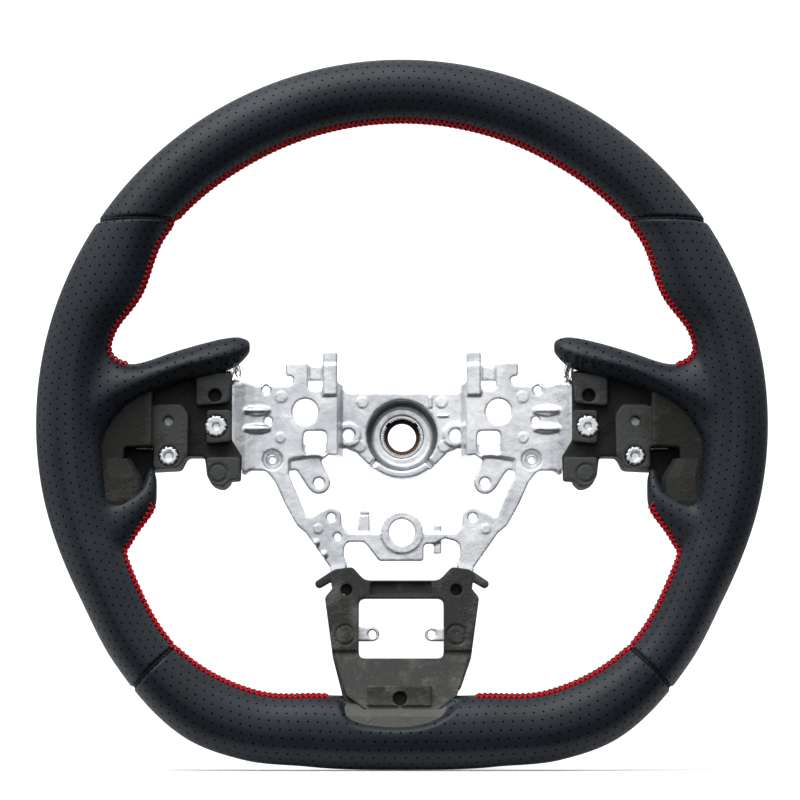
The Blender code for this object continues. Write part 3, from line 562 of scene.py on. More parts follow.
# %% Seam threads in the four joints
SEAM_STEPS = 200
MIDDLE_RADIUS = 169  # of the rim, in millimetres
SEAM_LIFT = -1.15
SEAM_RADIUS, KNOT_HEIGHT, KNOTS = 0.33, 0.07, 44
for name, joint, centre_angle in (("seam_thread_upper_right", JOINTS[0], UPPER_SEAM),
                                  ("seam_thread_upper_left", JOINTS[1], 180 - UPPER_SEAM),
                                  ("seam_thread_lower_right", JOINTS[2], LOWER_SEAM),
                                  ("seam_thread_lower_left", JOINTS[3], 180 - LOWER_SEAM)):
    turns = np.linspace(0, 360, SEAM_STEPS, endpoint=False)
    angles = np.full(SEAM_STEPS, float(centre_angle))
    for _ in range(12):  # walks each point of the ring onto the joint's plane
        distance = beside(rim_point(angles, turns, SEAM_LIFT - 0.05), joint)[0]
        angles -= np.degrees(distance / MIDDLE_RADIUS) * joint[2]
    ring = rim_point(angles, turns, SEAM_LIFT)
    ring = np.concatenate([ring, ring[:1]])
    knots = SEAM_RADIUS + KNOT_HEIGHT * np.sin(np.linspace(0, 2 * math.pi * KNOTS, len(ring)))
    piece = joined(name + "_fine", [tube(ring, knots[:, None, None], 6)])
    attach(piece, "root")
    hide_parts(name)
    print(name, "off its joint by", round(float(np.abs(beside(ring, joint)[0]).max()), 2), "mm")

# %% Cross stitching
STITCH_PITCH = 2.7
STITCH_RADIUS = 0.5
RIM_ROWS_Y = (-49.2, -46.4, -43.6)  # the front, middle and back rows of holes
SPOKE_ROWS_Y = (-46.6, -44.6, -42.6)  # and just below the spokes
RAY_START, RAY_LENGTH = 9, 24  # how far into the opening each ray starts, and how far it goes
THREAD_ENDS, UNDER, OVER, BEND_STEPS = -0.25, 0.75, 1.25, 7


def inner_path(side, start, end, head=(), tail=()):
    """Front-view line of the inner edge between two polar angles, with points before and after it."""
    angles = np.linspace(start, end, 240)
    path = rim_point(angles, np.full(240, 180.0))[:, [0, 2]]
    path = np.concatenate([np.reshape(head, (-1, 2)), path, np.reshape(tail, (-1, 2))])
    if side < 0:
        path = path * np.array([-1, 1])
    return path


def spaced(path, pitch):
    """Points at equal distances along a line, and the unit direction at each."""
    lengths = np.concatenate([[0], np.cumsum(np.linalg.norm(np.diff(path, axis=0), axis=1))])
    count = int(lengths[-1] / pitch)
    at = np.linspace(0, lengths[-1], count + 1)
    found = np.stack([np.interp(at, lengths, path[:, k]) for k in (0, 1)], axis=-1)
    ahead = np.gradient(found, axis=0)
    return found, ahead / np.linalg.norm(ahead, axis=1)[:, None]


def on_skin(place, outward, y):
    """The skin's point and normal where a level ray from the opening meets it."""
    start = Vector((place[0] - outward[0] * RAY_START, y, place[1] - outward[1] * RAY_START)) * MM
    hit, normal, _, _ = skin_tree.ray_cast(start, Vector((outward[0], 0, outward[1])), RAY_LENGTH * MM)
    return (np.array(hit) / MM, np.array(normal)) if hit else (None, None)


def cross_stitches(name, path, node):
    """Two crossing sets of short threads along a line of holes, laid on the skin."""
    places, ahead = spaced(path, STITCH_PITCH)
    holes = []
    for place, way in zip(places, ahead):
        outward = np.array([-way[1], way[0]])
        if outward @ (place - np.array([0, RIM_CENTRE_Z])) < 0:
            outward = -outward
        near_spoke = float(ramp_up(place[1], -74, -58) * ramp_up(-place[1], -54, -45))
        rows = (1 - near_spoke) * np.array(RIM_ROWS_Y) + near_spoke * np.array(SPOKE_ROWS_Y)
        holes.append([on_skin(place, outward, y) for y in rows])
    shapes = []
    for before, after in zip(holes, holes[1:]):
        if any(hit is None for hit, _ in (*before, *after)):
            continue
        middle = (before[1][0] + after[1][0]) / 2
        normal = before[1][1] + after[1][1]
        normal /= np.linalg.norm(normal)
        for a, b, high in ((before[0][0], after[2][0], UNDER), (before[2][0], after[0][0], OVER)):
            line = []
            for t in np.linspace(0, 1, BEND_STEPS):
                base = a * (1 - t) * (1 - 2 * t) + middle * 4 * t * (1 - t) + b * t * (2 * t - 1)
                lift = THREAD_ENDS + (high - THREAD_ENDS) * math.sin(math.pi * t) ** 0.6
                line.append(base + normal * lift)
            shapes.append(tube(line, STITCH_RADIUS))
    piece = joined(name, shapes)
    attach(piece, "root")
    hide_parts(node)
    print(name, len(shapes), "threads")
    return piece


# (x, z) of the crook under the right wing, and of the corner below the right web
CROOK = [(149.3, 47.2), (148.6, 43.4), (146.9, 39.6), (143.6, 36.0), (139.4, 34.6)]
WEB_CORNER = [(126.5, -37.0), (131.5, -43.5), (136.6, -50.5), (140.2, -58.0)]
left_half = inner_path(-1, 90.0, 17.5, tail=CROOK)[::-1]
right_half = inner_path(1, 90.0, 17.5, tail=CROOK)
top_path = np.concatenate([left_half, right_half[1:]])
stitches = [cross_stitches("top_cross_stitching", top_path, "stitching_top")]
for side, word in ((1, "right"), (-1, "left")):
    path = inner_path(side, -29.0, -75.0, head=WEB_CORNER)
    stitches.append(cross_stitches(f"lower_{word}_cross_stitching", path, f"stitching_lower_{word}"))

# %% [markdown]
# ## Castings and mouldings from their solids
#
# A die casting has no sharp corners: metal doesn't fill them, and the mould is rounded so that the
# part lets go. The measured solid has the right holes and steps but knife edges. A fine voxel
# remesh followed by a little relaxing rounds every edge by about half a millimetre, everywhere at
# once, which a Bevel modifier can't do on a mesh full of Boolean cuts.

# %% Soft-edged copies


def prism(outline, front, back):
    """Points and faces of a flat plate with this (x, z) outline."""
    count = len(outline)
    points = [(x, y, z) for y in (front, back) for x, z in outline]
    faces = [list(range(count)), list(range(2 * count - 1, count - 1, -1))]
    faces += [[i, (i + 1) % count, count + (i + 1) % count, count + i] for i in range(count)]
    return points, faces


def cast_copy(name, node, voxel, rounds, extra=None):
    """A soft-edged copy of a measured solid, with an extra closed shape melted in, standing for it."""
    source = frame["nodes"][node]
    piece = bpy.data.objects.new(name, source.data.copy())
    piece.matrix_world = source.matrix_world
    bpy.context.scene.collection.objects.link(piece)
    piece.data.materials.clear()
    bm = bmesh.new()
    bm.from_mesh(piece.data)
    bmesh.ops.remove_doubles(bm, verts=bm.verts, dist=1e-6)
    if extra:
        corners = [bm.verts.new(Vector(p) * MM) for p in extra[0]]
        for face in extra[1]:
            bm.faces.new([corners[i] for i in face])
        bmesh.ops.recalc_face_normals(bm, faces=bm.faces)
    bm.to_mesh(piece.data)
    bm.free()
    melted(piece, voxel)
    points = relaxed(points_of(piece.data), edges_of(piece.data), rounds, 0.5)
    move_points(piece.data, points)
    smooth_shaded(piece)
    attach(piece, "root")
    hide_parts(node)
    print(name, len(piece.data.vertices), "points")
    return piece


def raise_front(piece, shapes):
    """Pushes a piece's front faces out along -Y by the sum of several height fields over x and z."""
    points = points_of(piece.data)
    normals = np.empty(len(points) * 3)
    piece.data.vertices.foreach_get("normal", normals)
    facing = ramp_up(-normals.reshape(-1, 3)[:, 1], 0.6, 0.9)
    for shape in shapes:
        points[:, 1] -= facing * shape(points[:, 0], points[:, 2])
    move_points(piece.data, points)


MARK_SLOPE = 0.25  # half the width of the slope round a raised mark
RING_WIDTH = 0.5


def within(distance, reach):
    """1 where a distance is less than this reach, with a short slope."""
    return ramp_up(-distance, -reach - MARK_SLOPE, -reach + MARK_SLOPE)


def round_mark(x, z, radius, height):
    """A raised disc."""
    return lambda px, pz: height * within(np.hypot(px - x, pz - z), radius)


def ring_mark(x, z, radius, depth):
    """A sunk ring."""
    return lambda px, pz: -depth * np.exp(-((np.hypot(px - x, pz - z) - radius) / RING_WIDTH) ** 2)


def bar_mark(x, z, half_width, half_height, height):
    """A raised bar."""
    return lambda px, pz: (height * within(np.abs(px - x), half_width)
                           * within(np.abs(pz - z), half_height))


cast_voxel = 0.6
print("voxel of the soft-edged copies, mm:", cast_voxel)

# %% [markdown]
# ### The bare casting
#
# Ejector pins push a die casting out of its mould and leave round marks on it. They are flat discs a
# quarter of a millimetre high, so they are a height pushed into the fine mesh, not separate pieces.

# %% The casting and its marks
casting = cast_copy("casting_fine", "armature_casting", cast_voxel, 2)
# where the ejector pins pushed the casting out of its die, as (x, z, radius) on the right
EJECTOR_MARKS = [(62.2, -2.0, 2.6), (62.0, 19.0, 3.0), (20.4, 17.2, 2.9), (21.8, -5.6, 3.1),
                 (42.8, -48.8, 2.4)]
MARK_HEIGHT, BAR_HEIGHT = 0.28, 0.5
raise_front(casting,
            [round_mark(x * side, z, radius, MARK_HEIGHT)
             for x, z, radius in EJECTOR_MARKS for side in (-1, 1)]
            + [bar_mark(14.7, 17.2, 0.65, 2.9, BAR_HEIGHT), bar_mark(21.3, 10.1, 2.85, 0.55, BAR_HEIGHT)])
# the arms inside the side foam are set back a little, so that no bright metal shows through it
ARM_SET_BACK = 3.0
casting_points = points_of(casting.data)
casting_points[:, 1] += ARM_SET_BACK * ramp_up(np.abs(casting_points[:, 0]), 96, 104)
move_points(casting.data, casting_points)
print("ejector marks:", 2 * len(EJECTOR_MARKS))

# %% [markdown]
# ### The moulded foam
#
# The foam is one soft moulding with a tough skin. Where it runs on under the leather, an extra closed
# shape is melted into the copy, so that no gap shows along the leather's edge.

# %% Side foam and lower foam
# the side foam's outer lobe, which runs on under the rim's and the wing's leather (right side)
LOBE = [(157, 4), (157, -16), (152, -27), (145, -35.5), (133.3, -33), (133.9, -26.4), (141.2, -18.5),
        (141, -8), (127, -7.6), (127, 27), (140, 24), (150, 14)]
pads = []
RING_DEPTH = 0.9
for side, word in ((-1, "left"), (1, "right")):
    lobe = prism([(x * side, z) for x, z in LOBE], -44.0, -30.0)
    pad = cast_copy(f"side_foam_{word}", f"side_pad_{word}", cast_voxel, 3, lobe)
    raise_front(pad, [ring_mark(93.4 * side, -21.0, 4.5, RING_DEPTH)])
    pads.append(pad)
# the corner of the lower pad's foot that fills the leather's cut-out on the left
CORNER = [(-30.2, -127.5), (-29.8, -135.5), (-26, -140), (-16, -142), (-16, -127.5)]
lower_foam = cast_copy("lower_foam", "lower_pad", cast_voxel, 3,
                       prism(CORNER, -43.5, -38.0))
pads.append(lower_foam)
LEDGE_DEPTH = 1.3


def ledge(px, pz):
    """The shallow trough under the ledge across each leg of the lower pad."""
    return -LEDGE_DEPTH * ramp_up(-pz, 110.6, 111.4) * ramp_up(pz, -116.5, -112.5) * (np.abs(px) > 21)


raise_front(lower_foam, [ring_mark(x, -103.0, 4.9, RING_DEPTH) for x in (-28.9, 27.4)] + [ledge])
print("foam pieces:", len(pads))

# %% [markdown]
# ### Threaded bosses
#
# Four bright bosses stand through the side foam. Metal squeezed between the halves of a die leaves a
# thin ragged edge, the flash, so the rim of each boss is pushed in and out by a few mixed waves. A
# disc is melted into each hole as its floor.

# %% Bosses with ragged flash
RAGGED = 0.22  # height of the casting flash round the threaded bosses
FLOOR_RADIUS, FLOOR_FRONT, FLOOR_BACK = 3.2, 1.4, 2.6
BOSS_VOXEL = 0.35
bosses = []
for word in ("left", "right"):
    for level in ("upper", "lower"):
        corners = points_of(frame["nodes"][f"pad_boss_{word}_{level}"].data)
        (low_x, front, low_z), (high_x, _, high_z) = corners.min(0), corners.max(0)
        mid_x, mid_z = (low_x + high_x) / 2, (low_z + high_z) / 2
        circle = [(mid_x + FLOOR_RADIUS * math.cos(a), mid_z + FLOOR_RADIUS * math.sin(a))
                  for a in np.linspace(0, 2 * math.pi, 24, endpoint=False)]
        boss = cast_copy(f"boss_{word}_{level}", f"pad_boss_{word}_{level}", BOSS_VOXEL, 2,
                         prism(circle, front + FLOOR_FRONT, front + FLOOR_BACK))
        points = points_of(boss.data)
        middle = (points.max(0) + points.min(0)) / 2
        away = points - middle
        turn = np.arctan2(away[:, 2], away[:, 0])
        flash = ramp_up(np.hypot(away[:, 0], away[:, 2]), FLOOR_RADIUS, 4.4)
        waves = np.sin(11 * turn) + 0.7 * np.sin(17 * turn + 1) + 0.5 * np.sin(29 * turn)
        ragged = RAGGED * waves * flash
        points[:, 0] += ragged * np.cos(turn)
        points[:, 2] += ragged * np.sin(turn)
        move_points(boss.data, points)
        bosses.append(boss)
print("bosses:", len(bosses))

# %% [markdown]
# ## Serrated bush
#
# The hub is cast round a steel bush whose bore is cut into fine serrations, with two wider gaps near
# the top. A ring of points whose radius rises and falls gives every tooth at once. Two such rings and
# four plain ones make the whole closed shape.

# %% Serrated bush
SERRATIONS = 48
BUSH_OUTER, TOOTH_ROOT, TOOTH_TIP, BACK_BORE = 10.9, 9.9, 9.2, 7.3
BUSH_FRONT, LAND_FRONT = -7.2, -3.0
KEYWAYS, KEYWAY_HALF_WIDTH = (40.0, 140.0), 7.5  # in degrees
KEYWAY_RADIUS = 10.2
BUSH_STEPS = SERRATIONS * 8
bush_turn = np.arange(BUSH_STEPS) * 360 / BUSH_STEPS
teeth = TOOTH_ROOT - (TOOTH_ROOT - TOOTH_TIP) * ramp_up(np.cos(np.radians(bush_turn * SERRATIONS)), -0.5, 0.6)
for keyway in KEYWAYS:
    off_keyway = np.abs((bush_turn - keyway + 180) % 360 - 180)
    teeth = np.maximum(teeth, KEYWAY_RADIUS * (off_keyway < KEYWAY_HALF_WIDTH))


def bush_ring(radius, y):
    """A ring of points round the column's axis."""
    turns = np.radians(bush_turn)
    return np.stack([radius * np.cos(turns), np.full(BUSH_STEPS, y), radius * np.sin(turns)], axis=-1)


bush_rings = [bush_ring(BUSH_OUTER, 0.0), bush_ring(BUSH_OUTER, BUSH_FRONT), bush_ring(teeth, BUSH_FRONT),
              bush_ring(teeth, LAND_FRONT), bush_ring(BACK_BORE, LAND_FRONT), bush_ring(BACK_BORE, 0.0)]
bush = mesh_piece("serrated_bush", np.concatenate(bush_rings),
                  grid_faces(len(bush_rings), BUSH_STEPS, close_rows=True))
face_outwards(bush)
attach(bush, "root")
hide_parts("hub_spline_bush")
print("bush serrations:", SERRATIONS)

# %% [markdown]
# ## Frayed ends
#
# Where the trimmed leather ends under each wing's tip, a few loose fibres hang out. Each is a thin
# tube bowed by a few random numbers, drawn from a fixed seed so that every run gives the same ones.

# %% Frayed ends under the wing tips
STRANDS = 16
STRAND_RADIUS = 0.2
draw = np.random.default_rng(11)
frayed = []
for side, low_end in ((-1, 27.5), (1, 24.0)):
    for _ in range(STRANDS):
        top = np.array([draw.uniform(83.5, 88.5), -40.5 + draw.uniform(-1.5, 1.5), 35.0])
        foot = np.array([top[0] + draw.uniform(-2.0, 1.5), -37.5 + draw.uniform(-1.5, 1.0),
                         low_end + draw.uniform(0, 5)])
        bow = np.array([draw.uniform(-1.2, 1.2), draw.uniform(-1.0, 0.2), 0.0])
        steps = np.linspace(0, 1, 9)[:, None]
        line = top * (1 - steps) + foot * steps + bow * np.sin(steps * math.pi)
        line[:, 0] *= side
        frayed.append(tube(line, STRAND_RADIUS, 5))
frayed_ends = joined("frayed_ends", frayed)
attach(frayed_ends, "root")
print("frayed strands:", 2 * STRANDS)

# %% [markdown]
# ## Materials
#
# Every finish is a Principled BSDF fed by procedural nodes, so nothing depends on image files. A few
# effects turn up in several finishes. Each is built once, as a node group with named inputs, and is
# placed in each material with its own numbers.

# %% Node helpers


def link(tree, source, target):
    tree.links.new(source, target)


def node_group(name, inputs, outputs):
    """An empty shader group with named float inputs and named outputs of the given kinds."""
    tree = bpy.data.node_groups.new(name, "ShaderNodeTree")
    for label, kind, value in inputs:
        socket = tree.interface.new_socket(label, in_out="INPUT", socket_type=kind)
        if value is not None:
            socket.default_value = value
    for label, kind in outputs:
        tree.interface.new_socket(label, in_out="OUTPUT", socket_type=kind)
    return tree, tree.nodes.new("NodeGroupInput"), tree.nodes.new("NodeGroupOutput")


def maths(tree, operation, *values):
    node = tree.nodes.new("ShaderNodeMath")
    node.operation = operation
    for i, value in enumerate(values):
        if isinstance(value, (int, float)):
            node.inputs[i].default_value = value
        else:
            link(tree, value, node.inputs[i])
    return node.outputs[0]


def product(tree, first, *others):
    """The product of several values."""
    for other in others:
        first = maths(tree, "MULTIPLY", first, other)
    return first


def axes_of(tree, vector):
    """The three parts of a vector."""
    node = tree.nodes.new("ShaderNodeSeparateXYZ")
    link(tree, vector, node.inputs["Vector"])
    return [node.outputs[label] for label in "XYZ"]


def ranged(tree, value, low, high, out_low, out_high):
    """value between low and high mapped to out_low and out_high, with a smooth step."""
    node = tree.nodes.new("ShaderNodeMapRange")
    node.interpolation_type = "SMOOTHSTEP"
    for label, number in (("From Min", low), ("From Max", high), ("To Min", out_low), ("To Max", out_high)):
        if isinstance(number, (int, float)):
            node.inputs[label].default_value = number
        else:
            link(tree, number, node.inputs[label])
    link(tree, value, node.inputs["Value"])
    return node.outputs["Result"]


def noise(tree, vector, scale, detail=3.0, rough=0.5):
    node = tree.nodes.new("ShaderNodeTexNoise")
    node.inputs["Scale"].default_value = scale
    node.inputs["Detail"].default_value = detail
    node.inputs["Roughness"].default_value = rough
    link(tree, vector, node.inputs["Vector"])
    return node.outputs["Fac"]


def mixed(tree, share, a, b):
    """A colour between a and b. Each is a socket or an RGB triple."""
    node = tree.nodes.new("ShaderNodeMix")
    node.data_type = "RGBA"
    link(tree, share, node.inputs["Factor"])
    for socket, value in ((node.inputs[6], a), (node.inputs[7], b)):
        if isinstance(value, tuple):
            socket.default_value = (*value, 1.0)
        else:
            link(tree, value, socket)
    return node.outputs[2]


def new_material(name, roughness, metallic=0.0):
    made = bpy.data.materials.new(name)
    made.use_nodes = True
    shader = made.node_tree.nodes["Principled BSDF"]
    shader.inputs["Roughness"].default_value = roughness
    shader.inputs["Metallic"].default_value = metallic
    return made, made.node_tree, shader


def object_place(tree):
    return tree.nodes.new("ShaderNodeTexCoord").outputs["Object"]


def bumped(tree, shader, height, distance):
    """Feeds the shader's Normal from a height over the surface."""
    bump = tree.nodes.new("ShaderNodeBump")
    bump.inputs["Distance"].default_value = distance
    bump.inputs["Strength"].default_value = 1.0
    link(tree, height, bump.inputs["Height"])
    link(tree, bump.outputs["Normal"], shader.inputs["Normal"])


def dress(piece, material):
    """Gives the piece this one material."""
    piece.data.materials.clear()
    piece.data.materials.append(material)


print("materials so far:", len(bpy.data.materials))

# %% [markdown]
# ### Punched holes
#
# The leather is punched in staggered rows, 5 mm apart along the rim and 4.2 mm apart round it. The
# group measures how far a point is from the nearest centre of two square lattices, one shifted by
# half a step, and gives 1 inside a hole.

# %% Group: punched holes
holes_tree, given, result = node_group(
    "punched_holes",
    [("Along", "NodeSocketFloat", 0.0), ("Around", "NodeSocketFloat", 0.0), ("Pitch", "NodeSocketFloat", 5.0),
     ("Row Gap", "NodeSocketFloat", 4.2), ("Radius", "NodeSocketFloat", 0.5)],
    [("Hole", "NodeSocketFloat"), ("Rim", "NodeSocketFloat")])


def lattice_distance(tree, given, shift):
    """Distance to the nearest centre of one lattice whose rows are two row gaps apart."""
    along = maths(tree, "ADD", maths(tree, "DIVIDE", given.outputs["Along"], given.outputs["Pitch"]), shift)
    twice = maths(tree, "MULTIPLY", given.outputs["Row Gap"], 2.0)
    around = maths(tree, "ADD", maths(tree, "DIVIDE", given.outputs["Around"], twice), shift)
    a = product(tree, maths(tree, "SUBTRACT", maths(tree, "FRACT", along), 0.5), given.outputs["Pitch"])
    b = product(tree, maths(tree, "SUBTRACT", maths(tree, "FRACT", around), 0.5), twice)
    return maths(tree, "SQRT", maths(tree, "ADD", product(tree, a, a), product(tree, b, b)))


nearest = maths(holes_tree, "MINIMUM", lattice_distance(holes_tree, given, 100.0),
                lattice_distance(holes_tree, given, 100.5))
radius = given.outputs["Radius"]
link(holes_tree, ranged(holes_tree, nearest, maths(holes_tree, "MULTIPLY", radius, 0.65),
                        maths(holes_tree, "MULTIPLY", radius, 1.15), 1.0, 0.0), result.inputs["Hole"])
link(holes_tree, ranged(holes_tree, nearest, maths(holes_tree, "MULTIPLY", radius, 0.8),
                        maths(holes_tree, "MULTIPLY", radius, 2.2), 1.0, 0.0), result.inputs["Rim"])
print(holes_tree.name, "has", len(holes_tree.nodes), "nodes")

# %% [markdown]
# ### Grain
#
# Tanned leather shows small pebbles with creases between them. A Voronoi texture's distance to its
# cell edges gives the pebbles, and a coarser noise the soft folds and the patches of shade.

# %% Group: leather grain
grain_tree, given, result = node_group(
    "leather_grain",
    [("Place", "NodeSocketVector", None), ("Fineness", "NodeSocketFloat", 900.0),
     ("Crease", "NodeSocketFloat", 0.3)],
    [("Height", "NodeSocketFloat"), ("Patch", "NodeSocketFloat")])
cells = grain_tree.nodes.new("ShaderNodeTexVoronoi")
cells.feature = "DISTANCE_TO_EDGE"
link(grain_tree, given.outputs["Place"], cells.inputs["Vector"])
link(grain_tree, given.outputs["Fineness"], cells.inputs["Scale"])
pebbles = ranged(grain_tree, cells.outputs["Distance"], 0.0, 0.25, 0.0, 1.0)
folds = noise(grain_tree, given.outputs["Place"], 140.0, 4.0, 0.6)
height = maths(grain_tree, "ADD", maths(grain_tree, "MULTIPLY", pebbles, 0.6),
               maths(grain_tree, "MULTIPLY", folds, given.outputs["Crease"]))
link(grain_tree, height, result.inputs["Height"])
patches = noise(grain_tree, given.outputs["Place"], 22.0, 3.0)
link(grain_tree, ranged(grain_tree, patches, 0.35, 0.65, 0.0, 1.0), result.inputs["Patch"])
print(grain_tree.name, "has", len(grain_tree.nodes), "nodes")

# %% [markdown]
# ### Dust and mottling
#
# Bare castings and moulded foam both carry cloudy patches and small pale specks. Cover moves the
# level above which the cloudy noise counts as dusty.

# %% Group: dust and mottling
dust_tree, given, result = node_group(
    "dusty_mottle",
    [("Place", "NodeSocketVector", None), ("Scale", "NodeSocketFloat", 90.0),
     ("Cover", "NodeSocketFloat", 0.5)],
    [("Dust", "NodeSocketFloat"), ("Speck", "NodeSocketFloat")])
broad = dust_tree.nodes.new("ShaderNodeTexNoise")
broad.inputs["Detail"].default_value = 6.0
broad.inputs["Roughness"].default_value = 0.65
link(dust_tree, given.outputs["Place"], broad.inputs["Vector"])
link(dust_tree, given.outputs["Scale"], broad.inputs["Scale"])
edge = maths(dust_tree, "SUBTRACT", 0.78, maths(dust_tree, "MULTIPLY", given.outputs["Cover"], 0.4))
link(dust_tree, ranged(dust_tree, broad.outputs["Fac"], edge, maths(dust_tree, "ADD", edge, 0.22), 0.0, 1.0),
     result.inputs["Dust"])
specks = noise(dust_tree, given.outputs["Place"], 700.0, 2.0)
link(dust_tree, ranged(dust_tree, specks, 0.62, 0.75, 0.0, 1.0), result.inputs["Speck"])


def place_group(tree, group, **values):
    """Places a group in a material, with its named inputs set or linked."""
    node = tree.nodes.new("ShaderNodeGroup")
    node.node_tree = group
    for label, value in values.items():
        socket = node.inputs[label.replace("_", " ")]
        if isinstance(value, (int, float)):
            socket.default_value = value
        else:
            link(tree, value, socket)
    return node


print(dust_tree.name, "has", len(dust_tree.nodes), "nodes")

# %% [markdown]
# ### Perforated leather
#
# Wheel leather is dyed through and lightly sealed: a soft sheen, a fine pebble, and holes that show
# as dark dots with softly dented edges. The colour is a blue black. The sheen is a rough coat that
# stops at the holes, so that they stay black.

# %% Material: perforated leather
leather, tree, shader = new_material("perforated_leather_finish", 0.7)
flat_place = tree.nodes.new("ShaderNodeAttribute")
flat_place.attribute_name = "flat_leather"
along_leather, around_leather, _ = axes_of(tree, flat_place.outputs["Vector"])
holes = place_group(tree, holes_tree, Along=along_leather, Around=around_leather, Pitch=5.0,
                    Row_Gap=4.2, Radius=0.54)
where = object_place(tree)
grain = place_group(tree, grain_tree, Place=where, Fineness=1100.0, Crease=0.35)
tone = mixed(tree, grain.outputs["Patch"], (0.0095, 0.0135, 0.0185), (0.0145, 0.0198, 0.0265))
link(tree, mixed(tree, holes.outputs["Hole"], tone, (0.0005, 0.0005, 0.0008)), shader.inputs["Base Color"])
link(tree, ranged(tree, grain.outputs["Patch"], 0.0, 1.0, 0.65, 0.78), shader.inputs["Roughness"])
height = maths(tree, "SUBTRACT", maths(tree, "MULTIPLY", grain.outputs["Height"], 0.10),
               maths(tree, "MULTIPLY", holes.outputs["Rim"], 0.5))
bumped(tree, shader, height, 0.0004)
shader.inputs["Specular IOR Level"].default_value = 0.0
link(tree, ranged(tree, holes.outputs["Hole"], 0.0, 0.6, 0.5, 0.0), shader.inputs["Coat Weight"])
shader.inputs["Coat Roughness"].default_value = 0.42
for panel in panels:
    dress(panel, leather)
print("leather nodes:", len(tree.nodes))

# %% [markdown]
# ### Thread
#
# Waxed thread is a dull, even colour. A very fine noise stands for its fibres. The loose fibres are
# a mix of black and grey.

# %% Material: threads
red_thread, tree, shader = new_material("red_thread_finish", 0.55)
fibre = noise(tree, object_place(tree), 1800.0, 2.0)
link(tree, mixed(tree, fibre, (0.33, 0.001, 0.006), (0.62, 0.004, 0.014)), shader.inputs["Base Color"])
bumped(tree, shader, fibre, 0.0002)
shader.inputs["Specular IOR Level"].default_value = 0.2
for piece in stitches:
    dress(piece, red_thread)
black_thread, tree, shader = new_material("black_thread_finish", 0.7)
fibre = noise(tree, object_place(tree), 1500.0, 2.0)
link(tree, mixed(tree, fibre, (0.002, 0.002, 0.003), (0.012, 0.012, 0.014)), shader.inputs["Base Color"])
bumped(tree, shader, fibre, 0.0002)
for thread_name in ("upper_left", "upper_right", "lower_left", "lower_right"):
    dress(bpy.data.objects[f"seam_thread_{thread_name}_fine"], black_thread)

frayed_fibre, tree, shader = new_material("frayed_fibre_finish", 0.8)
fibre = noise(tree, object_place(tree), 900.0, 2.0)
link(tree, mixed(tree, fibre, (0.012, 0.012, 0.013), (0.28, 0.28, 0.29)), shader.inputs["Base Color"])
dress(frayed_ends, frayed_fibre)
print("threads dressed:", len(stitches) + len(JOINTS), "and the frayed ends")

# %% [markdown]
# ### Cast metal
#
# As-cast light alloy is a bright, slightly rough metal with cloudy flow marks and dull patches. The deep wall
# of the hub's well gets painted shade: it is darkened in the colour, a little more towards its top, by a mask
# made from the distance to the column's axis. The threaded bosses are brighter and scuffed.

# %% Material: as-cast light alloy
alloy, tree, shader = new_material("as_cast_alloy", 0.4, 1.0)
where = object_place(tree)
flow = noise(tree, where, 38.0, 6.0, 0.6)
fine_flow = noise(tree, where, 260.0, 4.0, 0.6)
mottle = place_group(tree, dust_tree, Place=where, Scale=120.0, Cover=0.55)
tone = mixed(tree, ranged(tree, flow, 0.35, 0.65, 0.0, 1.0), (0.64, 0.67, 0.71), (0.93, 0.945, 0.965))
tone = mixed(tree, maths(tree, "MULTIPLY", mottle.outputs["Dust"], 0.5), tone, (0.50, 0.53, 0.58))
across, deep, up = axes_of(tree, where)
from_axis = maths(tree, "SQRT", maths(tree, "ADD", product(tree, across, across), product(tree, up, up)))
# painted shade: the wall of the hub's well is darkened in the base colour, a little more near its top
well_wall_painted_shade = product(tree, ranged(tree, from_axis, 0.0150, 0.0163, 0.0, 1.0),
                    ranged(tree, from_axis, 0.0187, 0.0192, 1.0, 0.0),
                    ranged(tree, deep, -0.0158, -0.0150, 0.0, 1.0),
                    ranged(tree, up, -0.014, 0.010, 0.85, 0.95))
# the painted shade goes into the base colour here
tone = mixed(tree, well_wall_painted_shade, tone, (0.065, 0.075, 0.085))
link(tree, tone, shader.inputs["Base Color"])
link(tree, ranged(tree, fine_flow, 0.3, 0.7, 0.32, 0.5), shader.inputs["Roughness"])
bumped(tree, shader, maths(tree, "ADD", fine_flow, maths(tree, "MULTIPLY", flow, 2.0)), 0.00025)
dress(casting, alloy)
print("casting nodes:", len(tree.nodes))

bright, tree, shader = new_material("bright_boss_alloy", 0.32, 1.0)
where = object_place(tree)
scuff = noise(tree, where, 300.0, 4.0, 0.6)
link(tree, mixed(tree, scuff, (0.60, 0.62, 0.66), (0.88, 0.89, 0.92)), shader.inputs["Base Color"])
link(tree, ranged(tree, scuff, 0.3, 0.7, 0.25, 0.45), shader.inputs["Roughness"])
bumped(tree, shader, scuff, 0.0004)
for boss in bosses:
    dress(boss, bright)

# %% [markdown]
# ### Foam skin
#
# The foam's skin is a dull dark grey that differs from place to place: darker on the outer lobes, and pale,
# mottled and worn on the lower pad and its foot. On the side pads, the faces that are set back get painted
# shade: their colour is darkened to near black. Masks made from the place on the wheel pick out those areas,
# and the mottling group breaks them up.

# %% Material: moulded foam
foam, tree, shader = new_material("moulded_foam_skin", 0.75)
where = object_place(tree)
mottle = place_group(tree, dust_tree, Place=where, Scale=75.0, Cover=0.75)
across, deep, up = axes_of(tree, where)
outer_lobe = ranged(tree, maths(tree, "ABSOLUTE", across), 0.122, 0.131, 0.0, 1.0)
lower_down = ranged(tree, up, -0.072, -0.06, 1.0, 0.0)
foot = ranged(tree, up, -0.1425, -0.131, 0.8, 0.0)
clean = mixed(tree, outer_lobe, (0.060, 0.065, 0.064), (0.017, 0.0168, 0.0155))
clean = mixed(tree, lower_down, clean, (0.038, 0.0395, 0.037))
clean = mixed(tree, foot, clean, (0.105, 0.103, 0.094))
worn = mixed(tree, lower_down, (0.046, 0.043, 0.036), (0.13, 0.13, 0.12))
tone = mixed(tree, maths(tree, "MULTIPLY", mottle.outputs["Dust"], 0.85), clean, worn)
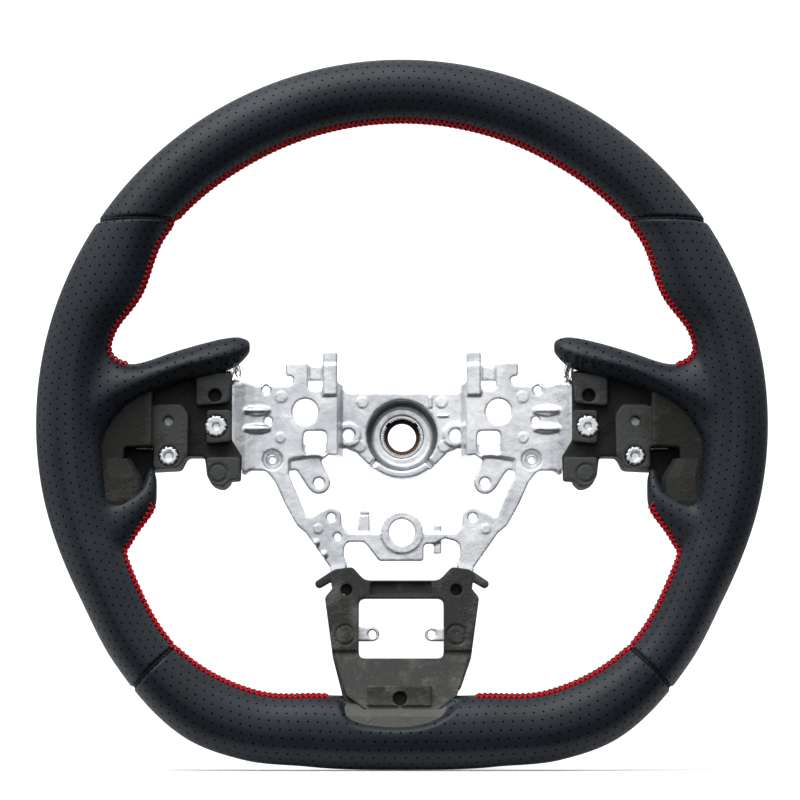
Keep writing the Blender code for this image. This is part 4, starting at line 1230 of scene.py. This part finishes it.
specks = product(tree, mottle.outputs["Speck"], product(tree, lower_down, 0.35))
tone = mixed(tree, specks, tone, (0.16, 0.15, 0.135))
# painted shade: the side pads' set-back faces are darkened to near black
set_back_painted_shade = product(tree, ranged(tree, deep, -0.0385, -0.0352, 0.0, 0.75),
                   maths(tree, "SUBTRACT", 1.0, lower_down))
tone = mixed(tree, set_back_painted_shade, tone, (0.003, 0.003, 0.003))
link(tree, tone, shader.inputs["Base Color"])
link(tree, ranged(tree, mottle.outputs["Dust"], 0.0, 1.0, 0.62, 0.85), shader.inputs["Roughness"])
skin_noise = noise(tree, where, 420.0, 5.0, 0.65)
bumped(tree, shader, maths(tree, "ADD", skin_noise, mottle.outputs["Dust"]), 0.0005)
shader.inputs["Specular IOR Level"].default_value = 0.2
for pad in pads:
    dress(pad, foam)
print("foam nodes:", len(tree.nodes))

# %% [markdown]
# ### Steel
#
# The bush's front is machined bright, and its bore has rusted, most of all low down, where brown shows;
# higher up the bore is coloured near black. The ring inside the rim is plain steel.

# %% Material: rusty bush and hidden ring
rust, tree, shader = new_material("rusty_serrations", 0.6, 0.7)
where = object_place(tree)
_, deep, up = axes_of(tree, where)
patchy = noise(tree, where, 420.0, 5.0, 0.7)
low_down = ranged(tree, maths(tree, "ADD", up, product(tree, patchy, 0.006)), -0.004, 0.008, 1.0, 0.0)
tone = mixed(tree, patchy, (0.06, 0.035, 0.022), (0.24, 0.12, 0.06))
tone = mixed(tree, low_down, (0.006, 0.006, 0.006), tone)
machined = ranged(tree, deep, -0.0071, -0.0068, 1.0, 0.0)
link(tree, mixed(tree, machined, tone, (0.78, 0.80, 0.83)), shader.inputs["Base Color"])
link(tree, ranged(tree, machined, 0.0, 1.0, 0.15, 1.0), shader.inputs["Metallic"])
link(tree, ranged(tree, machined, 0.0, 1.0, 0.75, 0.35), shader.inputs["Roughness"])
bumped(tree, shader, patchy, 0.0004)
dress(bush, rust)
hidden_steel, tree, shader = new_material("hidden_steel", 0.5, 1.0)
scale_marks = noise(tree, object_place(tree), 200.0, 4.0)
link(tree, mixed(tree, scale_marks, (0.2, 0.2, 0.21), (0.34, 0.34, 0.35)), shader.inputs["Base Color"])
dress(frame["nodes"]["rim_core"], hidden_steel)
dress(frame["nodes"]["rim_foam"], foam)
print("materials made:", len(bpy.data.materials))

# %% [markdown]
# ## Stage, light and camera
#
# The wheel stands on a small pale floor in a white studio. The world does most of the lighting: it is
# bright overhead and has soft cards in front, to the left and behind, as a studio has, and it is dark
# elsewhere. So the upper faces of the rim are lit and the lower ones fall into shade, which is what
# shows the leather's roundness. One softbox adds a soft shadow.

# %% Floor
FLOOR_GAP = 0.0004
FLOOR_Z = cad_box[0][2] - FLOOR_GAP
floor = mesh_piece("floor", [(-450, -62, 0), (450, -62, 0), (450, 600, 0), (-450, 600, 0)], [[0, 1, 2, 3]])
floor.location.z = FLOOR_Z
pale, tree, shader = new_material("pale_floor", 0.9)
shader.inputs["Base Color"].default_value = (0.86, 0.86, 0.86, 1.0)
dress(floor, pale)
print("floor height, mm:", round(FLOOR_Z / MM, 1))

# %% World and lights
world = bpy.data.worlds.new("studio")
bpy.context.scene.world = world
world.use_nodes = True
tree = world.node_tree
background = tree.nodes["Background"]
across, deep, up = axes_of(tree, tree.nodes.new("ShaderNodeTexCoord").outputs["Generated"])
overhead = ranged(tree, up, 0.0, 0.6, 0.03, 1.0)
card = product(tree, ranged(tree, deep, -0.98, -0.82, 0.85, 0.0), ranged(tree, up, -0.25, -0.02, 0.0, 1.0))
behind = ranged(tree, deep, 0.3, 0.9, 0.0, 0.5)
left = ranged(tree, across, -0.98, -0.6, 0.85, 0.0)
glow = maths(tree, "MAXIMUM", maths(tree, "MAXIMUM", overhead, behind), maths(tree, "MAXIMUM", card, left))
glow = mixed(tree, glow, (0.0, 0.0, 0.0), (1.0, 1.0, 1.0))
seen = tree.nodes.new("ShaderNodeLightPath").outputs["Is Camera Ray"]
link(tree, mixed(tree, seen, glow, (1.0, 1.0, 1.0)), background.inputs["Color"])
background.inputs["Strength"].default_value = 1.3
lamp = bpy.data.lights.new("overhead_softbox", "AREA")
lamp.shape = "SQUARE"
lamp.size = 1.5
lamp.energy = 28
softbox = bpy.data.objects.new("overhead_softbox", lamp)
softbox.location = (-0.55, -0.75, 1.5)
softbox.rotation_euler = (-softbox.location).to_track_quat("-Z", "Y").to_euler()
bpy.context.scene.collection.objects.link(softbox)
print("softbox side, m, and power, W:", lamp.size, lamp.energy)

# %% Camera
DISTANCE = 1.6
RISE = math.radians(-5.5)  # the camera looks slightly up at the wheel
TARGET = Vector((-0.001, -0.042, 0.0159))
WHEEL_WIDTH, SHARE_OF_VIEW = 0.371, 0.913  # the wheel's width, and how much of the view it fills
camera = bpy.data.objects.new("camera", bpy.data.cameras.new("camera"))
bpy.context.scene.collection.objects.link(camera)
camera.location = TARGET + DISTANCE * Vector((0, -math.cos(RISE), math.sin(RISE)))
camera.rotation_euler = (TARGET - camera.location).to_track_quat("-Z", "Y").to_euler()
camera.data.lens = camera.data.sensor_width * DISTANCE * SHARE_OF_VIEW / WHEEL_WIDTH
camera.data.clip_start = 0.01
bpy.context.scene.camera = camera
bpy.context.scene.view_settings.view_transform = "Standard"
print("camera above the floor, mm:", round((camera.location.z - FLOOR_Z) / MM))
